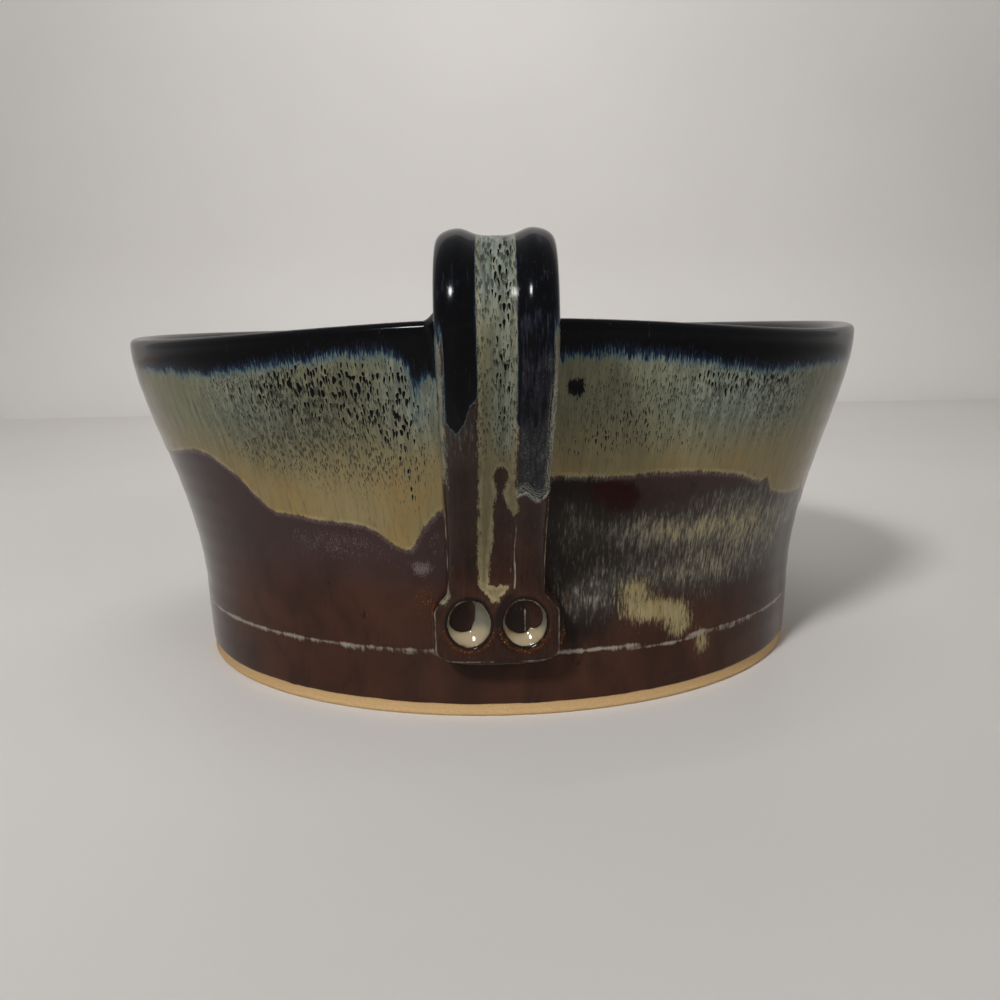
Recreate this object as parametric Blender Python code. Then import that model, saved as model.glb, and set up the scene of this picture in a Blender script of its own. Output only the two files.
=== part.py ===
"""Apple baker in stoneware: a thrown bowl, the hollow spike that carries the apple, and a pulled side handle.

Metres, +Z up. The origin is the centre of the flat foot, on the table, and the handle stands out along -Y.
Angles round the bowl are measured from the handle and are positive towards +X.
"""

import math

import bmesh
import bpy
from mathutils import Vector

# Bowl
FOOT_RADIUS = 0.0682
FOOT_BEVEL = 0.0007
WALL_SWELL = 0.0008  # how far the upright lower wall stands out over the foot
FLARE_START = 0.0126  # height where the wall leaves the upright
FLARE_LOWER_PULL = 0.0227  # how strongly the flare holds to the upright at its lower end
FLARE_UPPER_PULL = 0.0125  # and at the lip
RIM_RADIUS = 0.0819
RIM_HEIGHT = 0.0714
LIP_THICKNESS = 0.0056
LIP_EDGE = 0.0013  # radius of its outer corner; it rolls over more softly to the inside
WALL_THICKNESS = 0.0066  # of the lower wall, which thins to the lip
FLOOR_THICKNESS = 0.0075
FLOOR_CORNER = 0.0130  # radius of the inside corner
SWAY_START = 0.0300  # height over which the wall follows the uneven lip
LIP_SWAYS = (  # (angle, spread, rise) of each unevenness of the thrown lip, in degrees and metres
    (0, 28, 0.0019),
    (-60, 32, -0.0009),
    (52, 26, -0.0012),
)

# Luted joints: pieces are stuck together with a film of slip this thick
SLIP_GAP = 0.0003

# Spike
SPIKE_HEIGHT = 0.0450  # over the floor
SPIKE_FOOT_RADIUS = 0.0150
SPIKE_TIP_RADIUS = 0.0052
SPIKE_WALL = 0.0042
SPIKE_WAIST = 1.7  # over 1, the spike draws in quickly above its foot
SPIKE_COIL = 0.0050  # reach of the clay coil worked into the corner at its foot
VENT_RADIUS = 0.0012  # pricked through the floor, so that the hollow spike can be fired
VENT_OFFSET = 0.0055  # from the axis

# Handle
HANDLE_REACH = 0.0300  # its outer face past the lip
HANDLE_RISE = 0.0151  # its crest over the lip
HANDLE_CREST = 0.0158  # the crest's distance out from the lip
HANDLE_SHOULDER = 0.0016  # height of the outermost point over the lip
STRAP_LEAN = 0.0010  # the strap's middle, to the right of the pad's
STRAP_WIDTH = 0.0176
STRAP_THICKNESS = 0.0074
STRAP_SIDE = 0.50  # powers of its rounded section: under 1 fills out the sides
STRAP_FACE = 0.58  # and the faces
STRAP_BEVEL = 0.07  # share by which its face is narrower than its middle, where it comes in to the pad
ROOT_WIDTH = 0.0188
ROOT_THICKNESS = 0.0092
ROOT_DROP = 0.0072  # the root's middle under the lip
ROOT_TILT = 35  # degrees above level at which the strap leaves the wall
ROOT_DEPTH = 0.0040  # the length of the strap that the wall trims off
ROOT_COIL_RADIUS = 0.0022
GROOVE_DEPTH = 0.0013  # between the two beads of the strap
GROOVE_WIDTH = 0.0082
SWEEP_EASE = 0.0125  # how far the strap runs straight down before it sweeps in, and after

# Pressed pad at the strap's lower end
PAD_BOTTOM = 0.0120
PAD_THICKNESS = 0.0062
PAD_MARGIN = 0.0024  # clay beside the dimples
PAD_SOLE = 0.00365  # clay under them
PAD_CROWN = 0.00115  # and over them
PAD_SHOULDER = 0.0040  # height over which the strap widens to the pad
PAD_ROUND = 0.0034  # height of its rounded lower corners
PAD_FLAT = 0.66  # share of its width that stays under the corners
PAD_BEAD_RADIUS = 0.0014
DIMPLE_RADIUS = 0.0040
DIMPLE_TALL = 1.14  # height of a dimple over its width
DIMPLE_DEPTH = 0.0024
DIMPLE_BRIDGE = 0.0019  # clay between the dimples
POOL_DEPTH = 0.0012  # glaze lying in the bottom of a dimple

# Facets
BOWL_SIDES = 84
SPIKE_SIDES = 40
STRAP_SIDES = 32
TUBE_SIDES = 10

LIP_LEVEL = RIM_HEIGHT - LIP_EDGE  # where the wall turns over into the lip
LIP_ROLL = LIP_THICKNESS - LIP_EDGE  # radius of its inner side
WALL_RADIUS = FOOT_RADIUS + WALL_SWELL
DIMPLE_PITCH = 2 * DIMPLE_RADIUS + DIMPLE_BRIDGE
DIMPLE_LEVEL = PAD_BOTTOM + PAD_SOLE + DIMPLE_RADIUS * DIMPLE_TALL
PAD_WIDTH = DIMPLE_PITCH + 2 * (DIMPLE_RADIUS + PAD_MARGIN)
PAD_TOP = DIMPLE_LEVEL + DIMPLE_RADIUS * DIMPLE_TALL + PAD_CROWN


def smoothstep(share):
    """0 to 1 with level ends."""
    share = min(1.0, max(0.0, share))
    return share * share * (3 - 2 * share)


def mix(first, last, share):
    return first + (last - first) * share


def bezier(p0, p1, p2, p3, share):
    """Point of a cubic Bezier curve."""
    rest = 1 - share
    return p0 * rest**3 + 3 * p1 * share * rest**2 + 3 * p2 * share**2 * rest + p3 * share**3


def arc(centre, radius, start, end, steps):
    """Points of an arc in the profile plane (radius from the axis, height), angles in degrees, ends included."""
    turns = [math.radians(mix(start, end, i / steps)) for i in range(steps + 1)]
    return [(centre[0] + radius * math.cos(a), centre[1] + radius * math.sin(a)) for a in turns]


def wall_radius(height):
    """Outer radius of the bowl: nearly upright, then a Bezier flare to a lip that stands upright again."""
    if height < FLARE_START:
        return mix(FOOT_RADIUS, WALL_RADIUS, height / FLARE_START)
    low, high = 0.0, 1.0
    for _ in range(30):
        share = (low + high) / 2
        lower, upper = FLARE_START + FLARE_LOWER_PULL, LIP_LEVEL - FLARE_UPPER_PULL
        if bezier(FLARE_START, lower, upper, LIP_LEVEL, share) < height:
            low = share
        else:
            high = share
    return bezier(WALL_RADIUS, WALL_RADIUS, RIM_RADIUS, RIM_RADIUS, low)


def wall_thickness(height):
    return mix(WALL_THICKNESS, LIP_THICKNESS, smoothstep(height / LIP_LEVEL))


def lip_sway(angle):
    """Rise or dip of the thrown lip at an angle in degrees."""
    rise = 0.0
    for centre, spread, most in LIP_SWAYS:
        away = (angle - centre + 180) % 360 - 180
        rise += most * math.exp(-((away / spread) ** 2))
    return rise


def sway(point):
    """Carries a point of the bowl up or down with its uneven lip."""
    share = smoothstep((point.z - SWAY_START) / (RIM_HEIGHT - SWAY_START))
    angle = math.degrees(math.atan2(point.x, -point.y))
    return Vector((point.x, point.y, point.z + share * lip_sway(angle)))


def glaze(name, colour, roughness):
    """A plain fired finish."""
    material = bpy.data.materials.new(name)
    material.use_nodes = True
    shader = material.node_tree.nodes["Principled BSDF"]
    shader.inputs["Base Color"].default_value = (*colour, 1)
    shader.inputs["Roughness"].default_value = roughness
    shader.inputs["Metallic"].default_value = 0
    return material


def add(name, mesh, material):
    """Puts a mesh into the scene as a named piece, shaded smooth up to its sharp edges."""
    mesh.materials.append(material)
    mesh.shade_smooth()
    mesh.set_sharp_from_angle(angle=math.radians(40))
    piece = bpy.data.objects.new(name, mesh)
    bpy.context.scene.collection.objects.link(piece)
    return piece


def helper(piece):
    """Marks a piece as a cutter, which isn't part of the object."""
    piece.hide_render = True
    piece.display_type = "WIRE"
    return piece


def shape(piece, other, operation):
    """Adds a Boolean with another piece."""
    boolean = piece.modifiers.new(f"{operation.lower()}_{other.name}", "BOOLEAN")
    boolean.operation = operation
    boolean.object = other
    boolean.solver = "EXACT"


def mesh_from(name, build):
    """A mesh that a function fills through bmesh, with its faces turned outwards."""
    work = bmesh.new()
    build(work)
    bmesh.ops.remove_doubles(work, verts=work.verts, dist=1e-6)
    bmesh.ops.dissolve_degenerate(work, edges=work.edges, dist=1e-6)
    bmesh.ops.recalc_face_normals(work, faces=work.faces)
    mesh = bpy.data.meshes.new(name)
    work.to_mesh(mesh)
    work.free()
    return mesh


def turned(name, profile, sides, material, follow=None):
    """A profile of (radius, height) points turned about Z. follow moves each point afterwards."""

    def build(work):
        points = [work.verts.new((radius, 0, height)) for radius, height in profile]
        edges = [work.edges.new(pair) for pair in zip(points, points[1:] + points[:1])]
        bmesh.ops.spin(
            work,
            geom=points + edges,
            cent=(0, 0, 0),
            axis=(0, 0, 1),
            angle=math.tau,
            steps=sides,
            use_merge=True,
        )
        for vertex in work.verts:
            if follow:
                vertex.co = follow(vertex.co)

    return add(name, mesh_from(name, build), material)


def lofted(name, rings, material, closed=False):
    """Rings of points joined in turn. An open row of rings is capped at both ends."""

    def build(work):
        loops = [[work.verts.new(point) for point in ring] for ring in rings]
        pairs = list(zip(loops, loops[1:] + loops[:1])) if closed else list(zip(loops, loops[1:]))
        for first, second in pairs:
            for i in range(len(first)):
                j = (i + 1) % len(first)
                work.faces.new((first[i], first[j], second[j], second[i]))
        if not closed:
            work.faces.new(loops[0])
            work.faces.new(loops[-1])

    return add(name, mesh_from(name, build), material)


def ball(name, centre, radius, material):
    """A ball drawn out upwards, as a dimple is."""

    def build(work):
        bmesh.ops.create_uvsphere(work, u_segments=24, v_segments=14, radius=radius)
        bmesh.ops.scale(work, vec=(1, 1, DIMPLE_TALL), verts=work.verts)
        bmesh.ops.translate(work, vec=centre, verts=work.verts)

    return add(name, mesh_from(name, build), material)


def bowl_profile():
    """Closed half section of the bowl: up the outside, over the lip, down the inside, across the floor and foot."""
    outside = [(FOOT_RADIUS - FOOT_BEVEL, 0), (wall_radius(FOOT_BEVEL), FOOT_BEVEL)]
    outside.append((WALL_RADIUS, FLARE_START))
    steps = 12
    heights = [mix(FLARE_START, LIP_LEVEL, i / steps) for i in range(1, steps + 1)]
    outside += [(wall_radius(height), height) for height in heights]
    lip = arc((RIM_RADIUS - LIP_EDGE, LIP_LEVEL), LIP_EDGE, 0, 90, 3)[1:]
    roll_level = RIM_HEIGHT - LIP_ROLL
    lip += arc((RIM_RADIUS - LIP_EDGE, roll_level), LIP_ROLL, 90, 180, 4)[1:]
    corner_level = FLOOR_THICKNESS + FLOOR_CORNER
    steps = 9
    heights = [mix(roll_level, corner_level, i / steps) for i in range(1, steps + 1)]
    inside = [(wall_radius(height) - wall_thickness(height), height) for height in heights]
    corner = arc((inside[-1][0] - FLOOR_CORNER, corner_level), FLOOR_CORNER, 0, -90, 5)[1:]
    return outside + lip + inside + corner + [(0, FLOOR_THICKNESS), (0, 0)]


def make_bowl(material):
    bowl = turned("bowl_body", bowl_profile(), BOWL_SIDES, material, sway)
    vent_profile = [(0, -FLOOR_THICKNESS), (VENT_RADIUS, -FLOOR_THICKNESS)]
    vent_profile += [(VENT_RADIUS, 2 * FLOOR_THICKNESS), (0, 2 * FLOOR_THICKNESS)]
    vent = helper(turned("vent_cutter", vent_profile, 12, material))
    vent.location.y = VENT_OFFSET
    shape(bowl, vent, "DIFFERENCE")
    return bowl


def make_wall_cutter(material):
    """The bowl without its hollow, larger by the slip, which trims what is luted to the wall."""
    steps = 16
    heights = [mix(FLARE_START, LIP_LEVEL, i / steps) for i in range(steps + 1)]
    profile = [(0, -SLIP_GAP), (FOOT_RADIUS + SLIP_GAP, -SLIP_GAP)]
    profile += [(wall_radius(height) + SLIP_GAP, height) for height in heights]
    profile += arc((RIM_RADIUS - LIP_EDGE, LIP_LEVEL), LIP_EDGE + SLIP_GAP, 0, 90, 4)[1:]
    profile += [(0, RIM_HEIGHT + SLIP_GAP)]
    return helper(turned("wall_cutter", profile, BOWL_SIDES, material, sway))


def spike_radius(level):
    """Outer radius of the spike at a height over its own foot, under its round tip."""
    share = 1 - level / (SPIKE_HEIGHT - SPIKE_TIP_RADIUS)
    return mix(SPIKE_TIP_RADIUS, SPIKE_FOOT_RADIUS, share**SPIKE_WAIST)


def make_spike(material):
    """Hollow cone, open below, that stands on the floor of the bowl."""
    base = FLOOR_THICKNESS + SLIP_GAP
    tip_level = SPIKE_HEIGHT - SPIKE_TIP_RADIUS
    steps = 7
    levels = [tip_level * i / steps for i in range(steps + 1)]
    outside = [(spike_radius(level), base + level) for level in levels]
    tip = arc((0, base + tip_level), SPIKE_TIP_RADIUS, 0, 90, 4)[1:]
    top = base + SPIKE_HEIGHT - SPIKE_WALL
    inside_levels = [level for level in reversed(levels) if spike_radius(level) > SPIKE_WALL * 1.2]
    inside = [(spike_radius(level) - SPIKE_WALL, base + level) for level in inside_levels]
    profile = outside + tip + [(0, max(top, inside[0][1] + SPIKE_WALL / 4))] + inside
    return turned("apple_spike", profile, SPIKE_SIDES, material)


def make_spike_coil(material):
    """Coil of soft clay smoothed to a hollow fillet in the corner between spike and floor."""
    base = FLOOR_THICKNESS + SLIP_GAP
    steps = 5
    profile = []
    for i in range(steps + 1):
        level = SPIKE_COIL * (1 - math.sin(math.pi / 2 * i / steps))
        reach = SPIKE_COIL * (1 - math.cos(math.pi / 2 * i / steps))
        profile.append((spike_radius(level) + SLIP_GAP + reach, base + level))
    profile.append((spike_radius(0) + SLIP_GAP, base))
    return turned("spike_coil", profile, SPIKE_SIDES, material)


def handle_route():
    """Bezier spans of the strap's middle line in the (distance from the axis, height) plane, root to pad."""
    tilt = math.radians(ROOT_TILT)
    away = Vector((math.cos(tilt), math.sin(tilt)))
    root_level = RIM_HEIGHT - ROOT_DROP
    root = Vector((wall_radius(root_level), root_level)) - away * ROOT_DEPTH
    crest = Vector((RIM_RADIUS + HANDLE_CREST, RIM_HEIGHT + HANDLE_RISE - STRAP_THICKNESS / 2))
    outermost = Vector((RIM_RADIUS + HANDLE_REACH - STRAP_THICKNESS / 2, RIM_HEIGHT + HANDLE_SHOULDER))
    pad_middle = wall_radius(PAD_TOP) + SLIP_GAP + PAD_THICKNESS / 2
    pad_start = Vector((pad_middle, PAD_TOP))
    pad_end = Vector((wall_radius(PAD_BOTTOM) + SLIP_GAP + PAD_THICKNESS / 2, PAD_BOTTOM))
    out, down = Vector((1, 0)), Vector((0, -1))
    rise = crest.y - root.y
    round_out = outermost.x - crest.x
    round_down = crest.y - outermost.y
    return (
        (root, root + away * rise * 0.72, crest - out * rise * 0.42, crest),
        (crest, crest + out * round_out * 0.62, outermost - down * round_down * 0.5, outermost),
        (outermost, outermost + down * SWEEP_EASE, pad_start - down * SWEEP_EASE, pad_start),
        (pad_start, pad_start.lerp(pad_end, 1 / 3), pad_start.lerp(pad_end, 2 / 3), pad_end),
    )


def strap_line():
    """(point, span number with its share) along the handle, close together on the pad's rounded end."""
    line = []
    for number, (span, steps) in enumerate(zip(handle_route(), (9, 8, 13, 9))):
        for i in range(0 if number == 0 else 1, steps + 1):
            share = i / steps
            if number == 3:
                share = math.sin(math.pi / 2 * share)
            line.append((bezier(*span, share), number + share))
    return line


def strap_size(place, point):
    """Width, thickness, groove and bevel of the strap at a place on it: 0 root, 1 crest, 2 outermost, 3 pad, 4 end."""
    settle = smoothstep(place / 0.8)
    width = mix(ROOT_WIDTH, STRAP_WIDTH, settle)
    thickness = mix(ROOT_THICKNESS, STRAP_THICKNESS, settle)
    groove = GROOVE_DEPTH
    bevel = 0.0
    if place > 2:
        thickness = mix(STRAP_THICKNESS, PAD_THICKNESS, smoothstep(place - 2))
        bevel = mix(0, STRAP_BEVEL, smoothstep(place - 2))
    if place > 3:
        widened = smoothstep((PAD_TOP - point.y) / PAD_SHOULDER)
        width = mix(STRAP_WIDTH, PAD_WIDTH, widened)
        groove = mix(GROOVE_DEPTH, 0, widened)
        bevel = mix(STRAP_BEVEL, 0, widened)
        left = min(PAD_ROUND, max(0.02 * PAD_ROUND, point.y - PAD_BOTTOM))
        width *= mix(PAD_FLAT, 1, math.sqrt(1 - (1 - left / PAD_ROUND) ** 2))
        thickness *= mix(0.62, 1, smoothstep(left / PAD_ROUND * 1.6))
    return width, thickness, groove, bevel


def strap_lean(height):
    """Sideways place of the strap's middle, which leans from the pad up to the lip."""
    return STRAP_LEAN * smoothstep((height - PAD_TOP) / (RIM_HEIGHT - PAD_TOP))


def strap_rings(grow=0.0):
    """Sections of the strap: a flat oval whose outer side has two beads with a groove between them."""
    line = strap_line()
    rings = []
    for i, (point, place) in enumerate(line):
        before, after = line[max(i - 1, 0)][0], line[min(i + 1, len(line) - 1)][0]
        along = (after - before).normalized()
        outward = Vector((-along.y, along.x))
        width, thickness, groove, bevel = strap_size(place, point)
        ring = []
        for k in range(STRAP_SIDES):
            turn = math.tau * k / STRAP_SIDES
            side = math.copysign(abs(math.cos(turn)) ** STRAP_SIDE, math.cos(turn))
            face = math.copysign(abs(math.sin(turn)) ** STRAP_FACE, math.sin(turn))
            across = side * (width / 2 + grow) * (1 - bevel * face)
            lift = face * (thickness / 2 + grow)
            if lift > 0:
                lift -= groove * math.exp(-((2 * across / GROOVE_WIDTH) ** 4))
            place_2d = point + outward * lift
            ring.append(Vector((across + strap_lean(point.y), -place_2d.x, place_2d.y)))
        rings.append(ring)
    return rings


def dimple_centre(side):
    """Centre of the ball that presses a dimple, for side -1 (left) or 1 (right)."""
    face = wall_radius(DIMPLE_LEVEL) + SLIP_GAP + PAD_THICKNESS
    return Vector((side * DIMPLE_PITCH / 2, -(face + dimple_ball() - DIMPLE_DEPTH), DIMPLE_LEVEL))


def dimple_ball():
    """Radius of the ball whose cap is as wide and as deep as a dimple."""
    return (DIMPLE_RADIUS**2 + DIMPLE_DEPTH**2) / (2 * DIMPLE_DEPTH)


def make_handle(wall_cutter, material):
    handle = lofted("handle_strap", strap_rings(), material)
    shape(handle, wall_cutter, "DIFFERENCE")
    for side, word in ((-1, "left"), (1, "right")):
        press = helper(ball(f"dimple_cutter_{word}", dimple_centre(side), dimple_ball(), material))
        shape(handle, press, "DIFFERENCE")
    return handle


def make_pools(material):
    """Glaze that ran down the groove and set in the lower half of each dimple."""
    blank = helper(lofted("pad_blank", strap_rings(-SLIP_GAP / 2), material))
    for side, word in ((-1, "left"), (1, "right")):
        centre = dimple_centre(side)
        pool = ball(f"glaze_pool_{word}", centre, dimple_ball() - SLIP_GAP, material)
        surface_centre = centre + Vector((0, POOL_DEPTH * 0.4, POOL_DEPTH * 1.25))
        surface = ball(f"pool_surface_cutter_{word}", surface_centre, dimple_ball() - SLIP_GAP, material)
        shape(pool, blank, "INTERSECT")
        shape(pool, helper(surface), "DIFFERENCE")


def on_wall(across, height, offset):
    """Point at a sideways distance and a height, this far out from the wall on the handle's side."""
    radius = wall_radius(height) + offset
    return sway(Vector((across, -math.sqrt(radius**2 - across**2), height)))


def tube_rings(points, radius, closed, ends=None):
    """Round sections along a path that lies on the wall."""
    rings = []
    last = len(points) - 1
    for i, point in enumerate(points):
        before = points[i - 1] if closed or i else point
        after = points[(i + 1) % len(points)] if closed or i < last else point
        along = (after - before).normalized()
        outward = Vector((point.x, point.y, 0)).normalized()
        outward = (outward - along * outward.dot(along)).normalized()
        sideways = along.cross(outward)
        size = radius * (ends if ends and i in (0, last) else 1)
        turns = [math.tau * k / TUBE_SIDES for k in range(TUBE_SIDES)]
        rings.append([point + (outward * math.cos(a) + sideways * math.sin(a)) * size for a in turns])
    return rings


def make_root_coil(wall_cutter, strap_cutter, material):
    """Coil of soft clay laid round the strap where it leaves the wall."""
    level = RIM_HEIGHT - ROOT_DROP
    half_wide = ROOT_WIDTH / 2
    half_high = ROOT_THICKNESS / 2 / math.cos(math.radians(ROOT_TILT))
    steps = 36
    path = []
    for i in range(steps):
        turn = math.tau * i / steps
        across = math.copysign(abs(math.cos(turn)) ** 0.7, math.cos(turn)) * half_wide
        up = math.copysign(abs(math.sin(turn)) ** 0.7, math.sin(turn)) * half_high
        path.append(on_wall(across, level + up, SLIP_GAP))
    coil = lofted("handle_root_coil", tube_rings(path, ROOT_COIL_RADIUS, True), material, closed=True)
    shape(coil, wall_cutter, "DIFFERENCE")
    shape(coil, strap_cutter, "DIFFERENCE")
    return coil


def make_pad_bead(wall_cutter, strap_cutter, material):
    """Slip squeezed out along both sides and under the pad."""
    half_wide = PAD_WIDTH / 2
    top = PAD_TOP - PAD_SHOULDER * 0.8
    sides = 4
    outline = [(-half_wide, mix(top, PAD_BOTTOM + PAD_ROUND, i / sides)) for i in range(sides)]
    for i in range(9):
        turn = math.pi / 2 * i / 8
        across = half_wide * mix(PAD_FLAT, 1, math.cos(turn))
        outline.append((-across, PAD_BOTTOM + PAD_ROUND * (1 - math.sin(turn))))
    outline += [(-across, height) for across, height in reversed(outline)]
    path = [on_wall(across, height, SLIP_GAP) for across, height in outline]
    bead = lofted("handle_pad_bead", tube_rings(path, PAD_BEAD_RADIUS, False, 0.4), material)
    shape(bead, wall_cutter, "DIFFERENCE")
    shape(bead, strap_cutter, "DIFFERENCE")
    return bead


def main():
    for left_over in list(bpy.data.objects):
        bpy.data.objects.remove(left_over)
    brown = glaze("brown_glaze", (0.045, 0.022, 0.016), 0.22)
    liner = glaze("liner_glaze", (0.016, 0.017, 0.022), 0.15)
    cream = glaze("cream_glaze", (0.42, 0.38, 0.26), 0.12)
    make_bowl(brown)
    make_spike(liner)
    make_spike_coil(liner)
    wall_cutter = make_wall_cutter(brown)
    strap_cutter = helper(lofted("strap_cutter", strap_rings(SLIP_GAP), brown))
    make_handle(wall_cutter, brown)
    make_root_coil(wall_cutter, strap_cutter, brown)
    make_pad_bead(wall_cutter, strap_cutter, brown)
    make_pools(cream)


main()
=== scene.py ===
"""Apple baker in glazed stoneware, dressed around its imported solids.

Shapes are worked out in millimetres, with +Z up, the foot on the table and the handle standing out along -Y.
Angles round the bowl are in degrees from the handle, positive towards +X.
"""

import functools
import math

import bpy
import numpy as np
from mathutils import Matrix, Vector


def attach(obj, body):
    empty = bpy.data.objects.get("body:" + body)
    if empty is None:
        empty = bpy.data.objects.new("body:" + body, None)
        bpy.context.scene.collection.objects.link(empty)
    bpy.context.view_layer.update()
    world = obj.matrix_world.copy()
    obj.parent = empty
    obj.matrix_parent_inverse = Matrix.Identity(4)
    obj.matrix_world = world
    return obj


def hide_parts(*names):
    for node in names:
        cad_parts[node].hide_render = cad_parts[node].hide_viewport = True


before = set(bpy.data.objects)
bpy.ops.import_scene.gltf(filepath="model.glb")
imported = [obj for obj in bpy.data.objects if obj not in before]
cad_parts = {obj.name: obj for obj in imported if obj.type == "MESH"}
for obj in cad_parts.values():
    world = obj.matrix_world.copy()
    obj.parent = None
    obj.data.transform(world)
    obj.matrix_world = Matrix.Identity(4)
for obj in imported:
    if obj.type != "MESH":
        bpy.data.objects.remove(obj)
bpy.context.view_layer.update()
MM = 0.001

# Bowl
FOOT_RADIUS = 68.2
FOOT_BEVEL = 0.7
WALL_RADIUS = 69.0
FLARE_START = 12.6
FLARE_LOWER_PULL = 22.7
FLARE_UPPER_PULL = 12.5
RIM_RADIUS = 81.9
RIM_HEIGHT = 71.4
LIP_THICKNESS = 5.6
LIP_EDGE = 1.3
LIP_LEVEL = RIM_HEIGHT - LIP_EDGE
LIP_ROLL = LIP_THICKNESS - LIP_EDGE
ROLL_LEVEL = RIM_HEIGHT - LIP_ROLL
WALL_THICKNESS = 6.6
FLOOR_THICKNESS = 7.5
FLOOR_CORNER = 13.0
SWAY_START = 30.0
LIP_SWAYS = ((0, 28, 1.9), (-60, 32, -0.9), (52, 26, -1.2))  # angle, spread, rise
SLIP_GAP = 0.3
FACET_ROOM = 0.08  # keeps the smooth strap inside its faceted solid

# Spike
SPIKE_HEIGHT = 45.0
SPIKE_FOOT_RADIUS = 15.0
SPIKE_TIP_RADIUS = 5.2
SPIKE_WALL = 4.2
SPIKE_WAIST = 1.7
SPIKE_COIL = 5.0
SPIKE_BASE = FLOOR_THICKNESS + SLIP_GAP
VENT_RADIUS = 1.2
VENT_OFFSET = 5.5

# Handle
HANDLE_REACH = 30.0
HANDLE_RISE = 15.1
HANDLE_CREST = 15.8
HANDLE_SHOULDER = 1.6
STRAP_LEAN = 1.0
STRAP_WIDTH = 17.6
STRAP_THICKNESS = 7.4
STRAP_SIDE = 0.50
STRAP_FACE = 0.58
STRAP_BEVEL = 0.07
ROOT_WIDTH = 18.8
ROOT_THICKNESS = 9.2
ROOT_DROP = 7.2
ROOT_TILT = 35
ROOT_DEPTH = 4.0
GROOVE_DEPTH = 1.3
GROOVE_WIDTH = 8.2
SWEEP_EASE = 12.5
PAD_BOTTOM = 12.0
PAD_THICKNESS = 6.2
PAD_MARGIN = 2.4
PAD_SOLE = 3.65
PAD_CROWN = 1.15
PAD_SHOULDER = 4.0
PAD_ROUND = 3.4
PAD_FLAT = 0.66
PAD_BEAD_RADIUS = 1.4
DIMPLE_RADIUS = 4.0
DIMPLE_TALL = 1.14
DIMPLE_DEPTH = 2.4
DIMPLE_BRIDGE = 1.9
DIMPLE_PITCH = 2 * DIMPLE_RADIUS + DIMPLE_BRIDGE
DIMPLE_LEVEL = PAD_BOTTOM + PAD_SOLE + DIMPLE_RADIUS * DIMPLE_TALL
PAD_WIDTH = DIMPLE_PITCH + 2 * (DIMPLE_RADIUS + PAD_MARGIN)
PAD_TOP = DIMPLE_LEVEL + DIMPLE_RADIUS * DIMPLE_TALL + PAD_CROWN

# Low relief that only the meshes have
RING_DEPTH = 0.025
CREAM_STEP = 0.16
FOOT_STEP = 0.22
FINGER_DEPTH = 0.22  # throwing rings inside
SPIRAL_DEPTH = 0.3
SPIKE_RING_DEPTH = 0.14
THUMB_DEPTH = 0.22
BRIM_SOFTNESS = 0.35  # rounds over the brim of a dimple
RIDGE_HEIGHT = 0.25
HEM_HEIGHT = 0.22
FILM_THICKNESS = 0.3

# Where the finishes read their runs of glaze
FLOW_RADIUS = 75.0  # the plain cylinder on which the wall's are laid out
INSIDE_FLOW = 160.0  # the inside's are read downwards from here
STRAP_FLOW = 40.0  # the strap's lie this far to the side of the wall's


def mix(first, last, share):
    """The value a share of the way from the first to the last."""
    return first + (last - first) * share


def smooth(share):
    """0 to 1 with level ends: 3 s^2 - 2 s^3."""
    share = np.clip(share, 0, 1)
    return share * share * (3 - 2 * share)


def least(*values):
    """Smallest of several values at each point."""
    return functools.reduce(np.minimum, values)


def most(*values):
    """Largest of several values at each point."""
    return functools.reduce(np.maximum, values)


def signed_power(value, exponent):
    """The value's size raised to a power, with its sign kept."""
    return np.sign(value) * np.abs(value) ** exponent


def wave(turns):
    """Cosine of a number of turns."""
    return np.cos(2 * np.pi * turns)


def length_along(first, second):
    """Length from the start of a line to each of its points."""
    return np.concatenate([[0], np.cumsum(np.hypot(np.diff(first), np.diff(second)))])


def typed(points, value):
    """Reads typed (place, value) points, with straight runs between them."""
    places, values = np.array(points, float).T
    return np.interp(value, places, values)


def bezier(p0, p1, p2, p3, share):
    """Cubic Bezier curve."""
    rest = 1 - share
    return p0 * rest**3 + 3 * p1 * share * rest**2 + 3 * p2 * share**2 * rest + p3 * share**3


def hump(value, middle, spread):
    """Bell curve of height 1."""
    return np.exp(-(((value - middle) / spread) ** 2))


def turn_between(angle, middle):
    """Signed angle from the middle, within half a turn."""
    return (angle - middle + 180) % 360 - 180


def dab(angle, height, middle, level, wide, tall):
    """Soft oval patch on the wall, of strength 1 in its middle, wide in degrees and tall in millimetres."""
    return np.exp(-((turn_between(angle, middle) / wide) ** 2) - ((height - level) / tall) ** 2)


def around(points, angle, soften=0.8):
    """Reads (angle, value) points typed round the bowl: straight runs, averaged over a few degrees."""
    angles, values = np.array(points, float).T
    steps = np.linspace(-soften, soften, 5)
    return sum(np.interp(angle + step, angles, values, period=360) for step in steps) / len(steps)


def round_turn(columns, start=0):
    """Even angles round the axis, in one row."""
    return (np.arange(columns) / columns * 360 + start)[None, :]


def turned(reach, angle, height):
    """Points at a distance from the axis, an angle and a height."""
    turn = np.radians(angle)
    return np.stack(np.broadcast_arrays(reach * np.sin(turn), -reach * np.cos(turn), height), -1)


def angle_of(points):
    """Angle of points round the axis."""
    return np.degrees(np.arctan2(points[..., 0], -points[..., 1]))


# The wall

FLARE_SHARES = np.linspace(0, 1, 2001)
FLARE_HEIGHTS = bezier(
    FLARE_START, FLARE_START + FLARE_LOWER_PULL, LIP_LEVEL - FLARE_UPPER_PULL, LIP_LEVEL, FLARE_SHARES
)
FLARE_RADII = bezier(WALL_RADIUS, WALL_RADIUS, RIM_RADIUS, RIM_RADIUS, FLARE_SHARES)


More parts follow.
